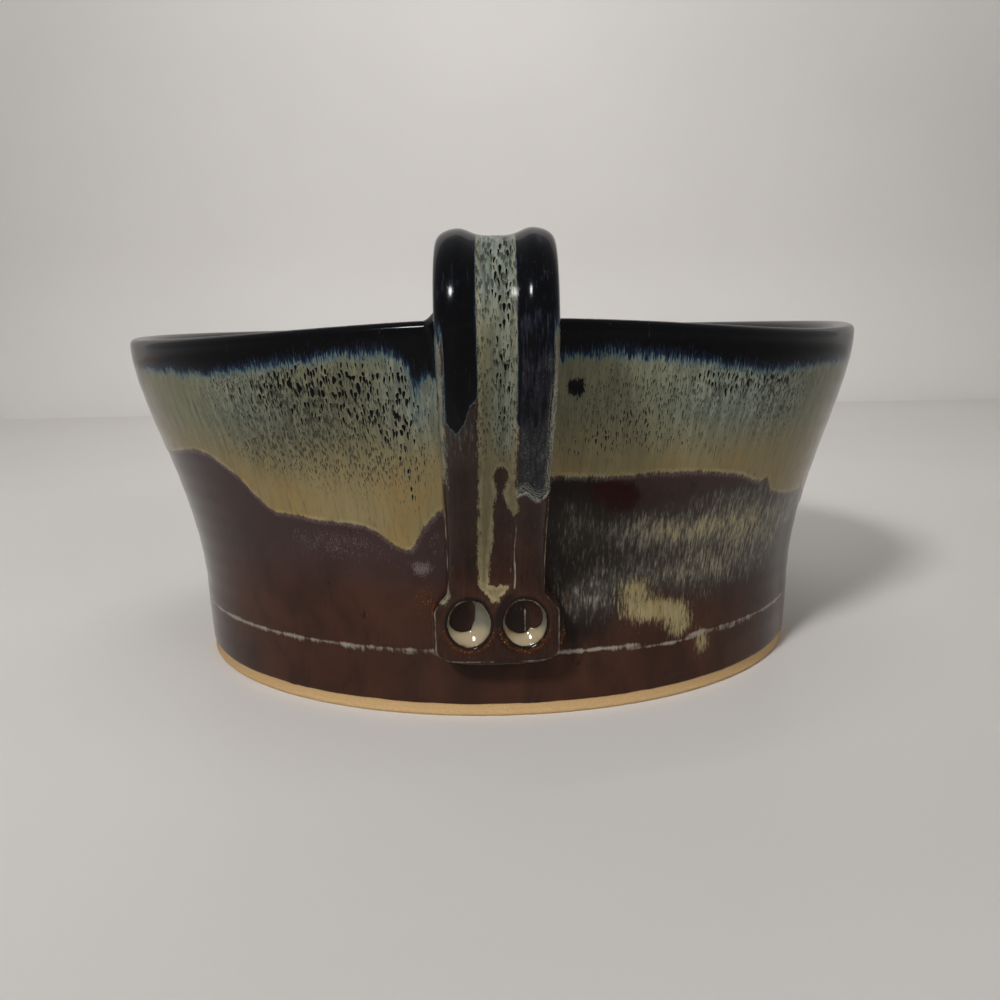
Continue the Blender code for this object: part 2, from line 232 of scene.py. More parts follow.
def wall_radius(height):
    """Outer radius before the sway: nearly upright, a Bezier flare, then a quarter circle at the lip."""
    upright = mix(FOOT_RADIUS, WALL_RADIUS, np.clip(height, 0, FLARE_START) / FLARE_START)
    flare = np.interp(height, FLARE_HEIGHTS, FLARE_RADII)
    over = np.clip(height - LIP_LEVEL, 0, LIP_EDGE)
    lip = RIM_RADIUS - LIP_EDGE + np.sqrt(LIP_EDGE**2 - over**2)
    return np.where(height < FLARE_START, upright, np.where(height > LIP_LEVEL, lip, flare))


def wall_thickness(height):
    """Thins from the floor to the lip."""
    return mix(WALL_THICKNESS, LIP_THICKNESS, smooth(height / LIP_LEVEL))


def lip_sway(angle):
    """Rise or dip of the thrown lip: a sum of bell curves round the bowl."""
    return sum(rise * hump(turn_between(angle, centre), 0, spread) for centre, spread, rise in LIP_SWAYS)


def swayed(height, angle):
    """Height after the wall has followed its uneven lip."""
    return height + smooth((height - SWAY_START) / (RIM_HEIGHT - SWAY_START)) * lip_sway(angle)


def unswayed(height, angle):
    """Undoes the sway by repeating height minus sway until it settles."""
    level = height
    for _ in range(6):
        level = height - smooth((level - SWAY_START) / (RIM_HEIGHT - SWAY_START)) * lip_sway(angle)
    return level


def outside_wall(across, height):
    """Radius of the swayed wall at a sideways place and height on the handle's side."""
    angle = np.degrees(np.arcsin(np.clip(across / RIM_RADIUS, -1, 1)))
    return wall_radius(unswayed(height, angle))


def wall_face(x, z, depth):
    """y of the wall on the handle's side, this deep under its face."""
    return -np.sqrt(np.maximum((outside_wall(x, z) - depth) ** 2 - x**2, 1))


# The glaze coats and some painted shadow, as fields that the finishes read at each point

CREAM_EDGE = (  # lower edge of the cream coat: angle, height
    (-180, 44), (-171, 43), (-165, 38.5), (-160, 36), (-156, 39), (-148, 41), (-139, 40.5), (-131, 43),
    (-120, 46.5), (-108, 46), (-100, 43.5), (-95, 40), (-91, 38.5), (-87, 41), (-80, 45.5), (-70, 47),
    (-60, 48), (-50, 49.5), (-46, 49), (-43, 47), (-41, 45.5), (-39.5, 44), (-38, 42), (-36, 39.5),
    (-34.5, 38.2), (-30, 38), (-27, 37.5), (-20, 37), (-18, 36.3), (-16.5, 35), (-15, 33.5), (-13, 32),
    (-11.5, 33), (-10.5, 36), (-9, 38), (-7.5, 40), (0, 43.5), (8, 45.5), (16, 45), (23, 45.3),
    (28, 45.2), (32, 44.7), (36, 44), (40, 43), (43, 41.3), (44.6, 41.4), (45.5, 42.8), (46.2, 41),
    (48, 38.5), (55, 37), (63, 36.5), (70, 34), (74, 30.5), (77, 29.5), (80, 33), (86, 38), (97, 40),
    (108, 39), (116, 36), (121, 33), (125, 35), (132, 41), (143, 44.5), (155, 46), (168, 45.5),
)
DARK_EDGE = (  # middle of the feathered lower edge of the black lip
    (-180, 65), (-150, 64), (-120, 65.5), (-90, 66.3), (-70, 66.5), (-50, 65.6), (-38, 64.8), (-28, 66),
    (-18, 66.8), (-12, 67), (-8.5, 63), (0, 63), (9, 65.6), (16, 66.2), (24, 65.6), (32, 64.4), (40, 64),
    (52, 65), (75, 65.5), (100, 64), (130, 65.6), (155, 64.6),
)
WASH_LINE = (  # thin pale line where the dipped coats meet
    (-180, 12.9), (-120, 12.2), (-60, 12.9), (-10, 12.6), (11, 12.2), (20, 11.8), (30, 11.2), (34, 11.9),
    (40, 11.7), (54, 11.9), (90, 12.6), (140, 12.1),
)
FOOT_LINE = ((-180, 2.7), (-120, 2.4), (-60, 2.7), (-20, 2.6), (15, 2.5), (60, 2.7), (120, 2.8))

AS_TYPED = (0,)
SEEDS = (0, 125, -130)  # angles to which the front's patches are carried on round the unseen back
FLECK_SEEDS = (0, 95, -88)

# Patches on the wall: strength, angle, height, width in degrees, height in millimetres
DROPS = (
    (0.34, -31, 63.4, 10, 3), (0.32, -19, 62.6, 8, 3.6), (0.3, -17, 57, 7, 5), (0.24, -27, 58.5, 9, 4),
    (0.3, -11.5, 55, 3, 9), (0.2, 12, 49.5, 3, 3), (0.13, 17, 54, 7, 5), (0.5, 36, 62.6, 13, 3.2),
    (0.14, 27, 52, 14, 6), (0.3, -11, 44, 1.5, 6),
)
SPECKS = (
    (0.5, -31, 60, 10, 5), (0.44, -20, 57, 11, 7), (0.36, -33, 51, 8, 4), (0.34, -18, 48, 10, 4),
    (0.55, 36, 60.8, 13, 4.5), (0.34, 43, 56, 6, 5), (0.22, 17, 58, 8, 7),
)
STAINS = (
    (0.85, -9.2, 58.5, 0.9, 6.5), (0.42, -11.3, 45, 0.9, 5), (0.2, -17, 55, 2.2, 2.5),
    (0.5, -43, 57, 0.9, 1.2), (0.25, 10.5, 49.5, 2, 2.5),
)
BLOTS = ((1.2, 10, 60.6, 1.05, 1.25), (0.6, 10.5, 59.4, 0.6, 1.2))
SMOKES = ((1.0, -25, 57.5, 13, 8), (0.5, -33, 49, 9, 6))
VEILS = (
    (0.46, 37, 30, 18, 10), (0.2, 17, 27, 8, 9), (0.34, 21, 34.8, 6, 2.8), (0.34, 29, 34, 7, 3),
    (0.3, 42, 33.5, 10, 3.4), (0.25, 42, 39, 10, 2.5), (0.3, 11, 37, 4, 5), (0.25, 31, 24.8, 8, 3.4),
    (0.2, 46, 25, 12, 4.5), (0.3, 14, 22.5, 6, 4.5), (0.5, 60, 33, 12, 9),
)
STRAWS = ((1.0, 30, 34, 8, 4), (1.0, 42, 33, 12, 4), (0.6, 31, 25, 8, 4), (0.5, 46, 25, 12, 5))
SPILLS = (
    (0.85, 21.5, 23, 3.4, 2.8), (1.05, 25.5, 18.3, 6.4, 2.6), (0.85, 30.5, 14.4, 3, 3.2),
    (0.85, 35.6, 10, 1.7, 3), (0.8, 152, 20, 5, 2.2), (0.7, 161, 16.4, 3, 2.8),
    (0.8, -126, 24.5, 4, 2.6), (0.75, -119, 20, 6, 2),
)
# Darker patches of the brown. The first and fourth rows are painted shadow of the handle on the wall to its
# right, and SEEDS repeats them round the back; the other rows darken the brown.
UMBER_AND_SHADOW_PATCHES = (
    (1.3, 11, 33, 7, 12), (0.35, 22, 28.8, 7, 2.4), (0.35, 27, 40.5, 12, 3), (0.9, 13, 21, 6, 9),
    (0.9, 11, 43.6, 4, 1.5),
)
FLECKS = (
    (0.42, -21.8, 33.4, 9, 3.2), (0.34, -30, 32.5, 8, 4), (0.3, -18, 29.5, 7, 2.6),
    (0.95, -11.2, 28.8, 1.6, 1.7), (0.42, -8.5, 34, 1.6, 5), (0.35, 31, 4.2, 8, 1.2),
)
REDS = ((1.2, 15.6, 42.6, 2.6, 2), (1.4, 18, 40.8, 2.6, 2.4), (0.6, 150, 41, 7, 2.6))
RUSTS = ((0.55, -11.2, 22, 2.2, 4.5), (0.4, 10.6, 22, 0.8, 4), (0.55, -60, 67.6, 9, 2))
BLUES = ((1.0, 35, 14), (1.0, -9, 5), (0.6, -34, 9), (0.5, 140, 40))  # strength, angle, width in degrees


def patches(rows, angle, height, turns=SEEDS):
    """Sum of soft oval patches, repeated at each turn round the bowl."""
    spots = [(strength, middle + turn, *rest) for turn in turns for strength, middle, *rest in rows]
    return sum(strength * dab(angle, height, *spot) for strength, *spot in spots)


def signed_edge(points, angle, height):
    """Distance over a typed edge, positive above: the height over it, divided by the length of its slope."""
    step = 0.4
    slope = (around(points, angle + step) - around(points, angle - step)) / (2 * step * 1.3)
    return (height - around(points, angle)) / np.sqrt(1 + slope**2)


def wall_fields(angle, height):
    """Strength of each coat on the wall.

    Edges are signed distances in millimetres, and the rest run from 0 to about 1.
    """
    cream = signed_edge(CREAM_EDGE, angle, height)
    on_cream = smooth((cream - 1) / 5)
    lip = height - around(DARK_EDGE, angle, 1.5)
    line = np.abs(height - around(WASH_LINE, angle))
    blue = sum(strength * hump(turn_between(angle, middle), 0, wide) for strength, middle, wide in BLUES)
    return {
        "cream": cream,
        "dark": np.clip(0.55 + 0.26 * lip, -0.3, 1.5) + patches(STAINS, angle, height),
        "drops": patches(DROPS, angle, height) * on_cream,
        "specks": (0.05 + patches(SPECKS, angle, height)) * on_cream,
        "arc": FLOW_RADIUS * np.radians(angle),
        "rise": height,
        "warm": smooth((58 - height) / 15) * mix(1, 0.8, smooth((angle + 20) / 40)),
        "blue": smooth((height - 46) / 14) * blue,
        "fray": mix(0.5, 1.0, smooth((angle + 5) / 15)),
        "blot": patches(BLOTS, angle, height, AS_TYPED),
        "smoke": patches(SMOKES, angle, height),
        "veil": patches(VEILS, angle, height),
        "straw": patches(STRAWS, angle, height),
        "patch": patches(SPILLS, angle, height, AS_TYPED),
        "fleck": patches(FLECKS, angle, height, FLECK_SEEDS),
        # Painted shadow of the handle on the wall to its right, and darker patches of the brown
        "umber_and_shade": patches(UMBER_AND_SHADOW_PATCHES, angle, height),
        "plum": smooth((height - 20) / 14) * smooth(-cream / 1.5 + 0.5),
        "red": patches(REDS, angle, height, AS_TYPED),
        "line": smooth(1 - line / 1.1),
        "rust": patches(RUSTS, angle, height, AS_TYPED),
        "clay": around(FOOT_LINE, angle) - height,
    }


# The strap

def strap_spans():
    """Bezier spans of the middle line, as (distance out, height): root, crest, outermost, pad, end."""
    tilt = math.radians(ROOT_TILT)
    away = np.array([math.cos(tilt), math.sin(tilt)])
    out, down = np.array([1.0, 0.0]), np.array([0.0, -1.0])
    root_level = RIM_HEIGHT - ROOT_DROP
    root = np.array([float(wall_radius(root_level)), root_level]) - away * ROOT_DEPTH
    crest = np.array([RIM_RADIUS + HANDLE_CREST, RIM_HEIGHT + HANDLE_RISE - STRAP_THICKNESS / 2])
    outermost = np.array([RIM_RADIUS + HANDLE_REACH - STRAP_THICKNESS / 2, RIM_HEIGHT + HANDLE_SHOULDER])
    stand_off = SLIP_GAP + PAD_THICKNESS / 2
    pad_start = np.array([float(wall_radius(PAD_TOP)) + stand_off, PAD_TOP])
    pad_end = np.array([float(wall_radius(PAD_BOTTOM)) + stand_off, PAD_BOTTOM])
    rise = crest[1] - root[1]
    round_out = outermost[0] - crest[0]
    round_down = crest[1] - outermost[1]
    return (
        (root, root + away * rise * 0.72, crest - out * rise * 0.42, crest),
        (crest, crest + out * round_out * 0.62, outermost - down * round_down * 0.5, outermost),
        (outermost, outermost + down * SWEEP_EASE, pad_start - down * SWEEP_EASE, pad_start),
        (pad_start, mix(pad_start, pad_end, 1 / 3), mix(pad_start, pad_end, 2 / 3), pad_end),
    )


SPANS = strap_spans()


def strap_line(place):
    """(distance out, height) of the middle line at a place from 0 to 4: the spans' runs added up."""
    point = [SPANS[0][0][axis] + 0 * place for axis in (0, 1)]
    for number, span in enumerate(SPANS):
        share = np.clip(place - number, 0, 1)
        for axis in (0, 1):
            p0, p1, p2, p3 = (corner[axis] for corner in span)
            point[axis] = point[axis] + bezier(p0, p1, p2, p3, share) - p0
    return point


def strap_size(place, height):
    """Width, thickness, groove and bevel along the strap, eased from root to pad and rounded off below."""
    settle = smooth(place / 0.8)
    under = smooth((PAD_TOP - height) / PAD_SHOULDER) * (place > 2.5)
    width = mix(mix(ROOT_WIDTH, STRAP_WIDTH, settle), PAD_WIDTH, under)
    thickness = mix(mix(ROOT_THICKNESS, STRAP_THICKNESS, settle), PAD_THICKNESS, smooth(place - 2))
    groove = GROOVE_DEPTH * (1 - under)
    bevel = STRAP_BEVEL * smooth(place - 2) * (1 - under)
    last = place > 3
    corner = np.where(last, np.clip((height - PAD_BOTTOM) / PAD_ROUND, 0.0, 1), 1)
    edge = np.where(last, np.clip((height - PAD_BOTTOM) / 2.0, 0.0, 1), 1)
    width = width * mix(PAD_FLAT, 1, np.sqrt(1 - (1 - corner) ** 2))
    thickness = thickness * mix(0.3, 1, np.sqrt(1 - (1 - edge) ** 2)) - FACET_ROOM
    return width, thickness, groove, bevel


def strap_lean(height):
    """Sideways place of the strap's middle, which leans from the pad up to the lip."""
    return STRAP_LEAN * smooth((height - PAD_TOP) / (RIM_HEIGHT - PAD_TOP))


def section_turns(count):
    """Angles round the flat oval section that space its points evenly along its outline."""
    turns = np.linspace(0, 2 * np.pi, 20001)
    across = signed_power(np.cos(turns), STRAP_SIDE) * STRAP_WIDTH
    lift = signed_power(np.sin(turns), STRAP_FACE) * STRAP_THICKNESS
    length = length_along(across, lift)
    return np.interp(np.arange(count) / count * length[-1], length, turns)


def strap_point(place, turn):
    """Point of the strap: its section, a flat oval with two beads and a groove, square to the middle line.

    Gives x, y, z and the sideways place and lift within the section.
    """
    out, high = strap_line(place)
    step = 1e-3
    out_after, high_after = strap_line(np.clip(place + step, 0, 4))
    out_before, high_before = strap_line(np.clip(place - step, 0, 4))
    run = np.hypot(out_after - out_before, high_after - high_before)
    along_out, along_high = (out_after - out_before) / run, (high_after - high_before) / run
    width, thickness, groove, bevel = strap_size(place, high)
    face = signed_power(np.sin(turn), STRAP_FACE)
    across = signed_power(np.cos(turn), STRAP_SIDE) * width / 2 * (1 - bevel * face)
    lift = face * thickness / 2
    lift = lift - np.where(face > 0, groove * np.exp(-((2 * across / GROOVE_WIDTH) ** 4)), 0)
    x = across + strap_lean(high)
    y = -(out - along_high * lift)
    z = high + along_out * lift
    return x, y, z, across, lift


def leaves_wall(turn, depth):
    """Place along the strap where each line of its surface is this deep in the wall, found by halving."""
    low, high = np.zeros_like(turn), np.full_like(turn, 0.8)
    for _ in range(26):
        middle = (low + high) / 2
        x, y, z, _across, _lift = strap_point(middle, turn)
        clear = np.hypot(x, y) - outside_wall(x, z) + depth > 0
        low, high = np.where(clear, low, middle), np.where(clear, middle, high)
    return low


def dimple_floor(x, z, side):
    """How deep the pressed ball lies under the pad's face, and the point's share of the way to the rim."""
    u = x - side * DIMPLE_PITCH / 2
    w = (z - DIMPLE_LEVEL) / DIMPLE_TALL
    away = np.hypot(u, w)
    ball = (DIMPLE_RADIUS**2 + DIMPLE_DEPTH**2) / (2 * DIMPLE_DEPTH)
    deep = np.sqrt(np.maximum(ball**2 - away**2, 0)) - ball + DIMPLE_DEPTH
    return deep, away / DIMPLE_RADIUS


def pad_sag(x, z):
    """Lift of the pad's lower corners: a share of the squared sideways place, only near the end."""
    return 0.5 * (2 * x / PAD_WIDTH) ** 2 * smooth(1 - (z - PAD_BOTTOM) / 3)


def softer_of(first, second, blend):
    """Larger of two values with the corner between them rounded over."""
    return 0.5 * (first + second + np.sqrt((first - second) ** 2 + blend**2))


# Edges of the strap's coats: (height, sideways place) down its length, (sideways place, height) across it
CHANNEL_LEFT = ((12, -0.9), (24.6, -1), (26.6, -2.8), (28, -3.2), (42, -3), (50, -2.9))
CHANNEL_RIGHT = (
    (12, 0.3), (24.6, 0.4), (26.2, 2), (27, 2.4), (28, 2.2), (40, 2.3), (42, 3.6), (46, 3.3), (50, 3),
)
TONGUE_LEFT = (
    (27, -1.3), (32, -1), (36, -0.6), (42, -0.5), (44.4, -0.25), (46, 0), (47.5, -0.3), (49, -0.55),
)
TONGUE_RIGHT = (
    (27, 2.9), (32, 2.85), (40.5, 2.85), (42.4, 2.1), (44.4, 1.3), (46, 1), (47.5, 1.4), (49, 1.85),
)
BEAD_ENDS = (
    (-8.5, 60), (-7, 57.5), (-6, 56.6), (-5, 58), (-4, 60.8), (-3, 62), (-2.5, 62),
    (2.5, 57.6), (3, 57.6), (4, 57), (5, 56.8), (6, 57.4), (7, 58.5), (8.5, 60),
)
RUN_EDGE = ((3.2, 44.8), (3.6, 44.3), (4.2, 46.2), (5, 45.2), (6.6, 43.7), (8.4, 45.2), (8.8, 46.8))


def run_edge(x):
    """Lower edge of the black run on the right bead, averaged across the strap."""
    steps = np.linspace(-0.6, 0.6, 7)
    return sum(typed(RUN_EDGE, x + step) for step in steps) / len(steps)


def strap_cream(x, height, front):
    """Signed edge of the cream on the strap.

    It lies in a channel parted by a brown tongue, in a strip down each side, and on the pad's left shoulder.
    """
    channel = least(x - typed(CHANNEL_LEFT, height), typed(CHANNEL_RIGHT, height) - x, (height - 24.2) * 0.7)
    tongue_sides = np.minimum(x - typed(TONGUE_LEFT, height), typed(TONGUE_RIGHT, height) - x)
    tongue = least(tongue_sides, 50.6 - 0.9 * (x - 0.65) ** 2 - height, height - 27)
    strip_top = (74 - height) * 0.15
    left_strip = least(-7.8 - x, strip_top, (height - 48) * 0.25)
    right_strip = least(x - 7.9, strip_top, (height - 46) * 0.25)
    shoulder = 1.3 - np.hypot(x + 9.6, (height - 25.3) / 1.3)
    cream = most(np.minimum(channel, -tongue), left_strip, right_strip, shoulder)
    return np.where(front > 0.02, cream, -4)


def dimple_marks(x, height):
    """Pale line, rust and shade round the dimples: a dark ring, and painted shade inside each towards its
    left. The right one has a pale upright line and a painted shadow on its left flank too.
    """
    lower = smooth((DIMPLE_LEVEL + 1 - height) / 4)
    lines, rusts, shades = [], [], []
    for side in (-1, 1):
        _deep, rim = dimple_floor(x, height, side)
        u = x - side * DIMPLE_PITCH / 2
        lines.append(hump(rim, 0.93, 0.05))
        rusts.append(hump(rim, 1.17, 0.11) * mix(0.05, 0.8, lower))
        # A dark ring at the rim, and painted shade inside the dimple, deeper towards its left
        shades.append(hump(rim, 1.03, 0.045))
        shades.append(0.6 * smooth((0.9 - rim) / 0.1) * smooth((-u + 1.5) / 3))
        if side > 0:
            lines.append(0.9 * hump(u, 0, 0.2) * smooth((2.6 - np.abs(height - DIMPLE_LEVEL)) / 0.8))
            # Painted shadow on the right dimple's left flank, outside its rim
            shades.append(0.9 * hump(rim, 1.2, 0.1) * smooth((-u - 1) / 2))
    return most(*lines), most(*rusts), most(*shades)


def strap_fields(x, height, front, place):
    """Strength of each coat on the strap and pad, and of the painted shade on the pad. Height runs on past
    the crest towards the bowl.
    """
    seen = smooth(front * 4)
    on_pad = smooth((PAD_TOP + 0.5 - height) / 1.5) * (place > 2.6)
    bead = smooth((np.abs(x) - 2.55) / 0.7)
    in_channel = 1 - bead
    left_edge = smooth((-7.2 - x) / 0.5) * smooth((76 - height) / 8)
    right_edge = smooth((x - 7.6) / 0.5) * smooth((height - 47) / 3) * smooth((77 - height) / 8)

    dark_bead = 1.35 * bead * smooth((height - typed(BEAD_ENDS, x) + 0.7) / 1.4)
    dark_edge = 0.35 * smooth((-6.6 - x) / 0.8) * smooth((height - 49) / 3)
    dark_bead = np.minimum(dark_bead, mix(1.35, dark_edge, left_edge))
    dark_back = 1.3 * smooth((height - 58) / 5)
    dark = mix(dark_back, dark_bead, seen) * (1 - 0.85 * right_edge)

    over_run = height - run_edge(x)
    lace = smooth(1 - np.minimum(over_run, 1.4 * (9 - x)) / 3.4) * smooth((over_run + 0.25) / 0.3)
    lace = lace * smooth((x - 3) / 0.4) * smooth((68 - height) / 8)
    blue_bead = smooth((x - 3.1) / 0.4) * smooth(over_run / 0.5) * smooth((60 - height) / 4)
    glints = 0.42 * smooth((x - 3.1) / 0.6) * smooth((height - 57) / 3) * smooth((78 - height) / 5)
    glints = glints + 0.2 * bead * smooth((height - 56) / 4)
    glints = glints + 0.35 * smooth((x - 6.9) / 0.9) * smooth((height - 57) / 4) * smooth((75 - height) / 9)

    specks = 0.36 + 0.22 * smooth((height - 74) / 5)
    drops = 0.3 * hump(x, 0.9, 1.4) * smooth((height - 54) / 6) + 0.06 * smooth((height - 74) / 4)
    right_half = smooth((x + 1.6) / 2.2) * smooth((height - 50) / 6)
    blue = in_channel * np.maximum(1.2 * smooth((height - 69) / 9), 0.85 * right_half)
    blue = np.maximum(blue, 0.9 * smooth((-6.9 - x) / 0.5))

    rim_line, rust, shade = dimple_marks(x, height)
    to_edge = 0.5 * strap_size(place, height)[0] - np.abs(x)
    outline = np.maximum(hump(to_edge, 0.35, 0.3), hump(height - PAD_BOTTOM, 1.0, 0.3))
    pad_line = np.maximum(rim_line, 0.7 * outline) * on_pad
    thin_line = 1.05 * hump(x, 3.2 + 0.1 * np.sin(0.7 * height), 0.17)
    thin_line = thin_line * smooth((42.5 - height) / 2) * smooth((height - 25.5) / 1.5)
    channel_line = 0.55 * hump(x, -2.95, 0.16) * smooth((height - 30) / 6)
    side_line = 0.95 * hump(to_edge, 0.25, 0.25) * smooth((46 - height) / 2) * (1 - on_pad)
    return {
        "cream": strap_cream(x, height, front),
        "dark": dark * (1 - on_pad) - 0.12,
        "drops": in_channel * drops * seen,
        "specks": in_channel * specks * seen * smooth((height - 48) / 8),
        "arc": x,
        "rise": height,
        "warm": smooth((60 - height) / 12) * 0.6,
        "blue": 0.85 * blue,
        "fray": 1.0,
        "rutile": (blue_bead + glints * (1 - on_pad)) * seen * (1 - right_edge),
        "line": most(pad_line, thin_line, channel_line, side_line) * seen,
        "lace": lace * seen,
        "hem": hump(over_run, 0.36, 0.26) * smooth((x - 3.1) / 0.3) * seen,
        "smoke": most(1.2 * right_edge, 1.2 * smooth((-7.4 - x) / 0.4), 0.4 * in_channel),
        "rust": rust * on_pad,
        "veil": 0.3 * smooth((62 - height) / 3) * smooth((height - 48) / 5) * smooth((-2.9 - x) / 0.5),
        # Darkens the strap's brown all over; on the pad it adds the dimples' dark rings and painted shade
        "umber_and_shade": 0.42 + 0.9 * on_pad * shade,
        "fleck": 0.1,
        "clay": -5.0,
    }


# Pieces

def add_object(name, data):
    """A new object in the scene."""
    made = bpy.data.objects.new(name, data)
    bpy.context.scene.collection.objects.link(made)
    return made


def grid_piece(name, points, fields, finish, wrap_rows=False, poles=(None, None)):
    """A mesh from a grid of points, closed along its columns: a face between each four neighbours.

    Rows wrap round too, or end open, or close on a pole with a fan of triangles. A field is a number at each
    point, apart from flow, which is a place.
    """
    rows, columns = points.shape[:2]
    numbers = np.arange(rows * columns).reshape(rows, columns)
    below = numbers if wrap_rows else numbers[:-1]
    above = np.roll(numbers, -1, 0) if wrap_rows else numbers[1:]
    corners = (below, np.roll(below, -1, 1), np.roll(above, -1, 1), above)
    quads = np.stack([corner.ravel() for corner in corners], 1)
    triangles = np.zeros((0, 3), int)
    places = points.reshape(-1, 3)
    values = {}
    for key, value in fields.items():
        axes = (3,) if key == "flow" else ()
        values[key] = np.broadcast_to(value, (rows, columns, *axes)).reshape(-1, *axes)
    for ring, pole in zip((numbers[0], numbers[-1][::-1]), poles):
        if pole is None:
            continue
        tip = np.full(columns, len(places))
        triangles = np.concatenate([triangles, np.stack([tip, np.roll(ring, -1), ring], 1)])
        places = np.concatenate([places, [pole]])
        for key, value in values.items():
            values[key] = np.concatenate([value, value[ring].mean(0, keepdims=True)])
    mesh = bpy.data.meshes.new(name)
    mesh.vertices.add(len(places))
    mesh.vertices.foreach_set("co", (places * MM).astype(np.float32).ravel())
    loops = np.concatenate([quads.ravel(), triangles.ravel()]).astype(np.int32)
    mesh.loops.add(len(loops))
    mesh.loops.foreach_set("vertex_index", loops)
    starts = np.concatenate([np.arange(len(quads)) * 4, quads.size + np.arange(len(triangles)) * 3])
    mesh.polygons.add(len(starts))
    mesh.polygons.foreach_set("loop_start", starts.astype(np.int32))
    mesh.update(calc_edges=True)
    mesh.validate()
    mesh.shade_smooth()
    for key, value in values.items():
        kind, item = ("FLOAT_VECTOR", "vector") if value.ndim == 2 else ("FLOAT", "value")
        data = mesh.attributes.new(key, kind, "POINT").data
        data.foreach_set(item, value.astype(np.float32).ravel())
    mesh.materials.append(finish)
    piece = add_object(name, mesh)
    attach(piece, "root")
    return piece


BOWL_COLUMNS = 576


def wall_flow(angle, height):
    """Place on a plain cylinder as wide as the wall's middle, so that runs stay upright where it flares."""
    return turned(FLOW_RADIUS, angle, height)


def bowl_rows():
    """Closed section of the bowl as radius, height and side: 0 foot, 1 wall, 2 lip, 3 inside."""
    corner_level = FLOOR_THICKNESS + FLOOR_CORNER
    under = np.linspace(VENT_RADIUS, FOOT_RADIUS - FOOT_BEVEL, 9)
    bevel = np.radians(np.linspace(0, 90, 4)[1:])
    foot = np.linspace(FOOT_BEVEL, 4.2, 12)[1:]
    wall = np.linspace(4.2, LIP_LEVEL, 76)[1:]
    edge = np.radians(np.linspace(0, 90, 9)[1:])
    roll = np.radians(np.linspace(90, 180, 12)[1:])
    inside = np.linspace(ROLL_LEVEL, corner_level, 36)[1:]
    corner = np.radians(np.linspace(0, -90, 10)[1:])
    corner_radius = float(wall_radius(corner_level) - wall_thickness(corner_level)) - FLOOR_CORNER
    floor = np.linspace(corner_radius, VENT_RADIUS, 12)[1:]
    parts = (
        (under, 0 * under, 0),
        (FOOT_RADIUS - FOOT_BEVEL + FOOT_BEVEL * np.sin(bevel), FOOT_BEVEL * (1 - np.cos(bevel)), 0),
        (wall_radius(foot), foot, 1),
        (wall_radius(wall), wall, 1),
        (RIM_RADIUS - LIP_EDGE + LIP_EDGE * np.cos(edge), LIP_LEVEL + LIP_EDGE * np.sin(edge), 2),
        (RIM_RADIUS - LIP_EDGE + LIP_ROLL * np.cos(roll), ROLL_LEVEL + LIP_ROLL * np.sin(roll), 2),
        (wall_radius(inside) - wall_thickness(inside), inside, 3),
        (corner_radius + FLOOR_CORNER * np.cos(corner), corner_level + FLOOR_CORNER * np.sin(corner), 3),
        (floor, FLOOR_THICKNESS + 0 * floor, 3),
        (np.array([VENT_RADIUS]), np.array([FLOOR_THICKNESS / 2]), 3),
    )
    radius = np.concatenate([part[0] for part in parts])
    height = np.concatenate([part[1] for part in parts])
    side = np.concatenate([np.full(len(part[0]), part[2]) for part in parts])
    return radius[:, None], height[:, None], side[:, None]


def make_bowl(finish):
    """The section turned about the axis, with throwing rings, thicker cream, a bare foot and a vent.

    Near the axis the circles of the floor shrink towards the vent's own middle.
    """
    angle = round_turn(BOWL_COLUMNS, -180)
    radius, height, side = bowl_rows()
    on_wall, inside = side == 1, side == 3
    fields = wall_fields(angle, height)
    rings = wave(height / 4.7 + angle / 360) + 0.6 * wave(height / 7.9 - angle / 360)
    fade = smooth(height / 10) * smooth((LIP_LEVEL - height) / 8)
    no_cream = smooth(0.5 - fields["cream"] / 1.4) * smooth((LIP_LEVEL - height) / 4)
    bare_foot = smooth(0.5 + fields["clay"] / 0.5) * (height > 0)
    finger = wave(height / 6.2 + angle / 360) * smooth((height - 12) / 8)
    spiral = wave(radius / 6.4 + angle / 360) * smooth((20 - height) / 6)
    finger_fade = smooth((LIP_LEVEL - height) / 10) * smooth((radius - 12) / 10)
    spiral_fade = smooth((radius - 20) / 8)
    relief = np.where(on_wall, RING_DEPTH * (rings - 1.6) * fade - CREAM_STEP * no_cream, 0)
    relief = relief - np.where(side <= 1, FOOT_STEP * bare_foot, 0)
    relief = relief + np.where(inside, FINGER_DEPTH * (1 - finger) / 2 * finger_fade, 0)
    lowered = np.where(inside & (radius > 2), SPIRAL_DEPTH * (1 - spiral) / 2 * spiral_fade, 0)
    points = turned(radius + relief, angle, swayed(height, angle) - lowered)
    points[..., 1] += VENT_OFFSET * (1 - smooth((radius - VENT_RADIUS) / 13))
    breaking = ((1 + finger) / 2) ** 6 * finger_fade + ((1 + spiral) / 2) ** 6 * spiral_fade
    fields["dark"] = np.where(side >= 2, 1.35, fields["dark"])
    fields["cream"] = np.where(inside, -6, fields["cream"])
    fields["liner"] = np.where(inside, smooth((LIP_LEVEL - 2 - height) / 14), 0)
    fields["rust"] = np.where(inside, 0.42 * breaking, fields["rust"])
    fields["clay"] = np.where(side == 0, np.maximum(fields["clay"], 1.5), fields["clay"])
    fields["clay"] = np.where(inside, -5, fields["clay"])
    inside_flow = points * (1, 1, -1) + (0, 0, INSIDE_FLOW)
    fields["flow"] = np.where(inside[..., None], inside_flow, wall_flow(angle, height))
    bowl = grid_piece("bowl", points, fields, finish, wrap_rows=True)
    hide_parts("bowl_body")


def spike_radius(level):
    """Outer radius of the spike at a height over its foot: it draws in by a power of the height left."""
    share = np.clip(1 - level / (SPIKE_HEIGHT - SPIKE_TIP_RADIUS), 0, 1)
    return mix(SPIKE_TIP_RADIUS, SPIKE_FOOT_RADIUS, share**SPIKE_WAIST)


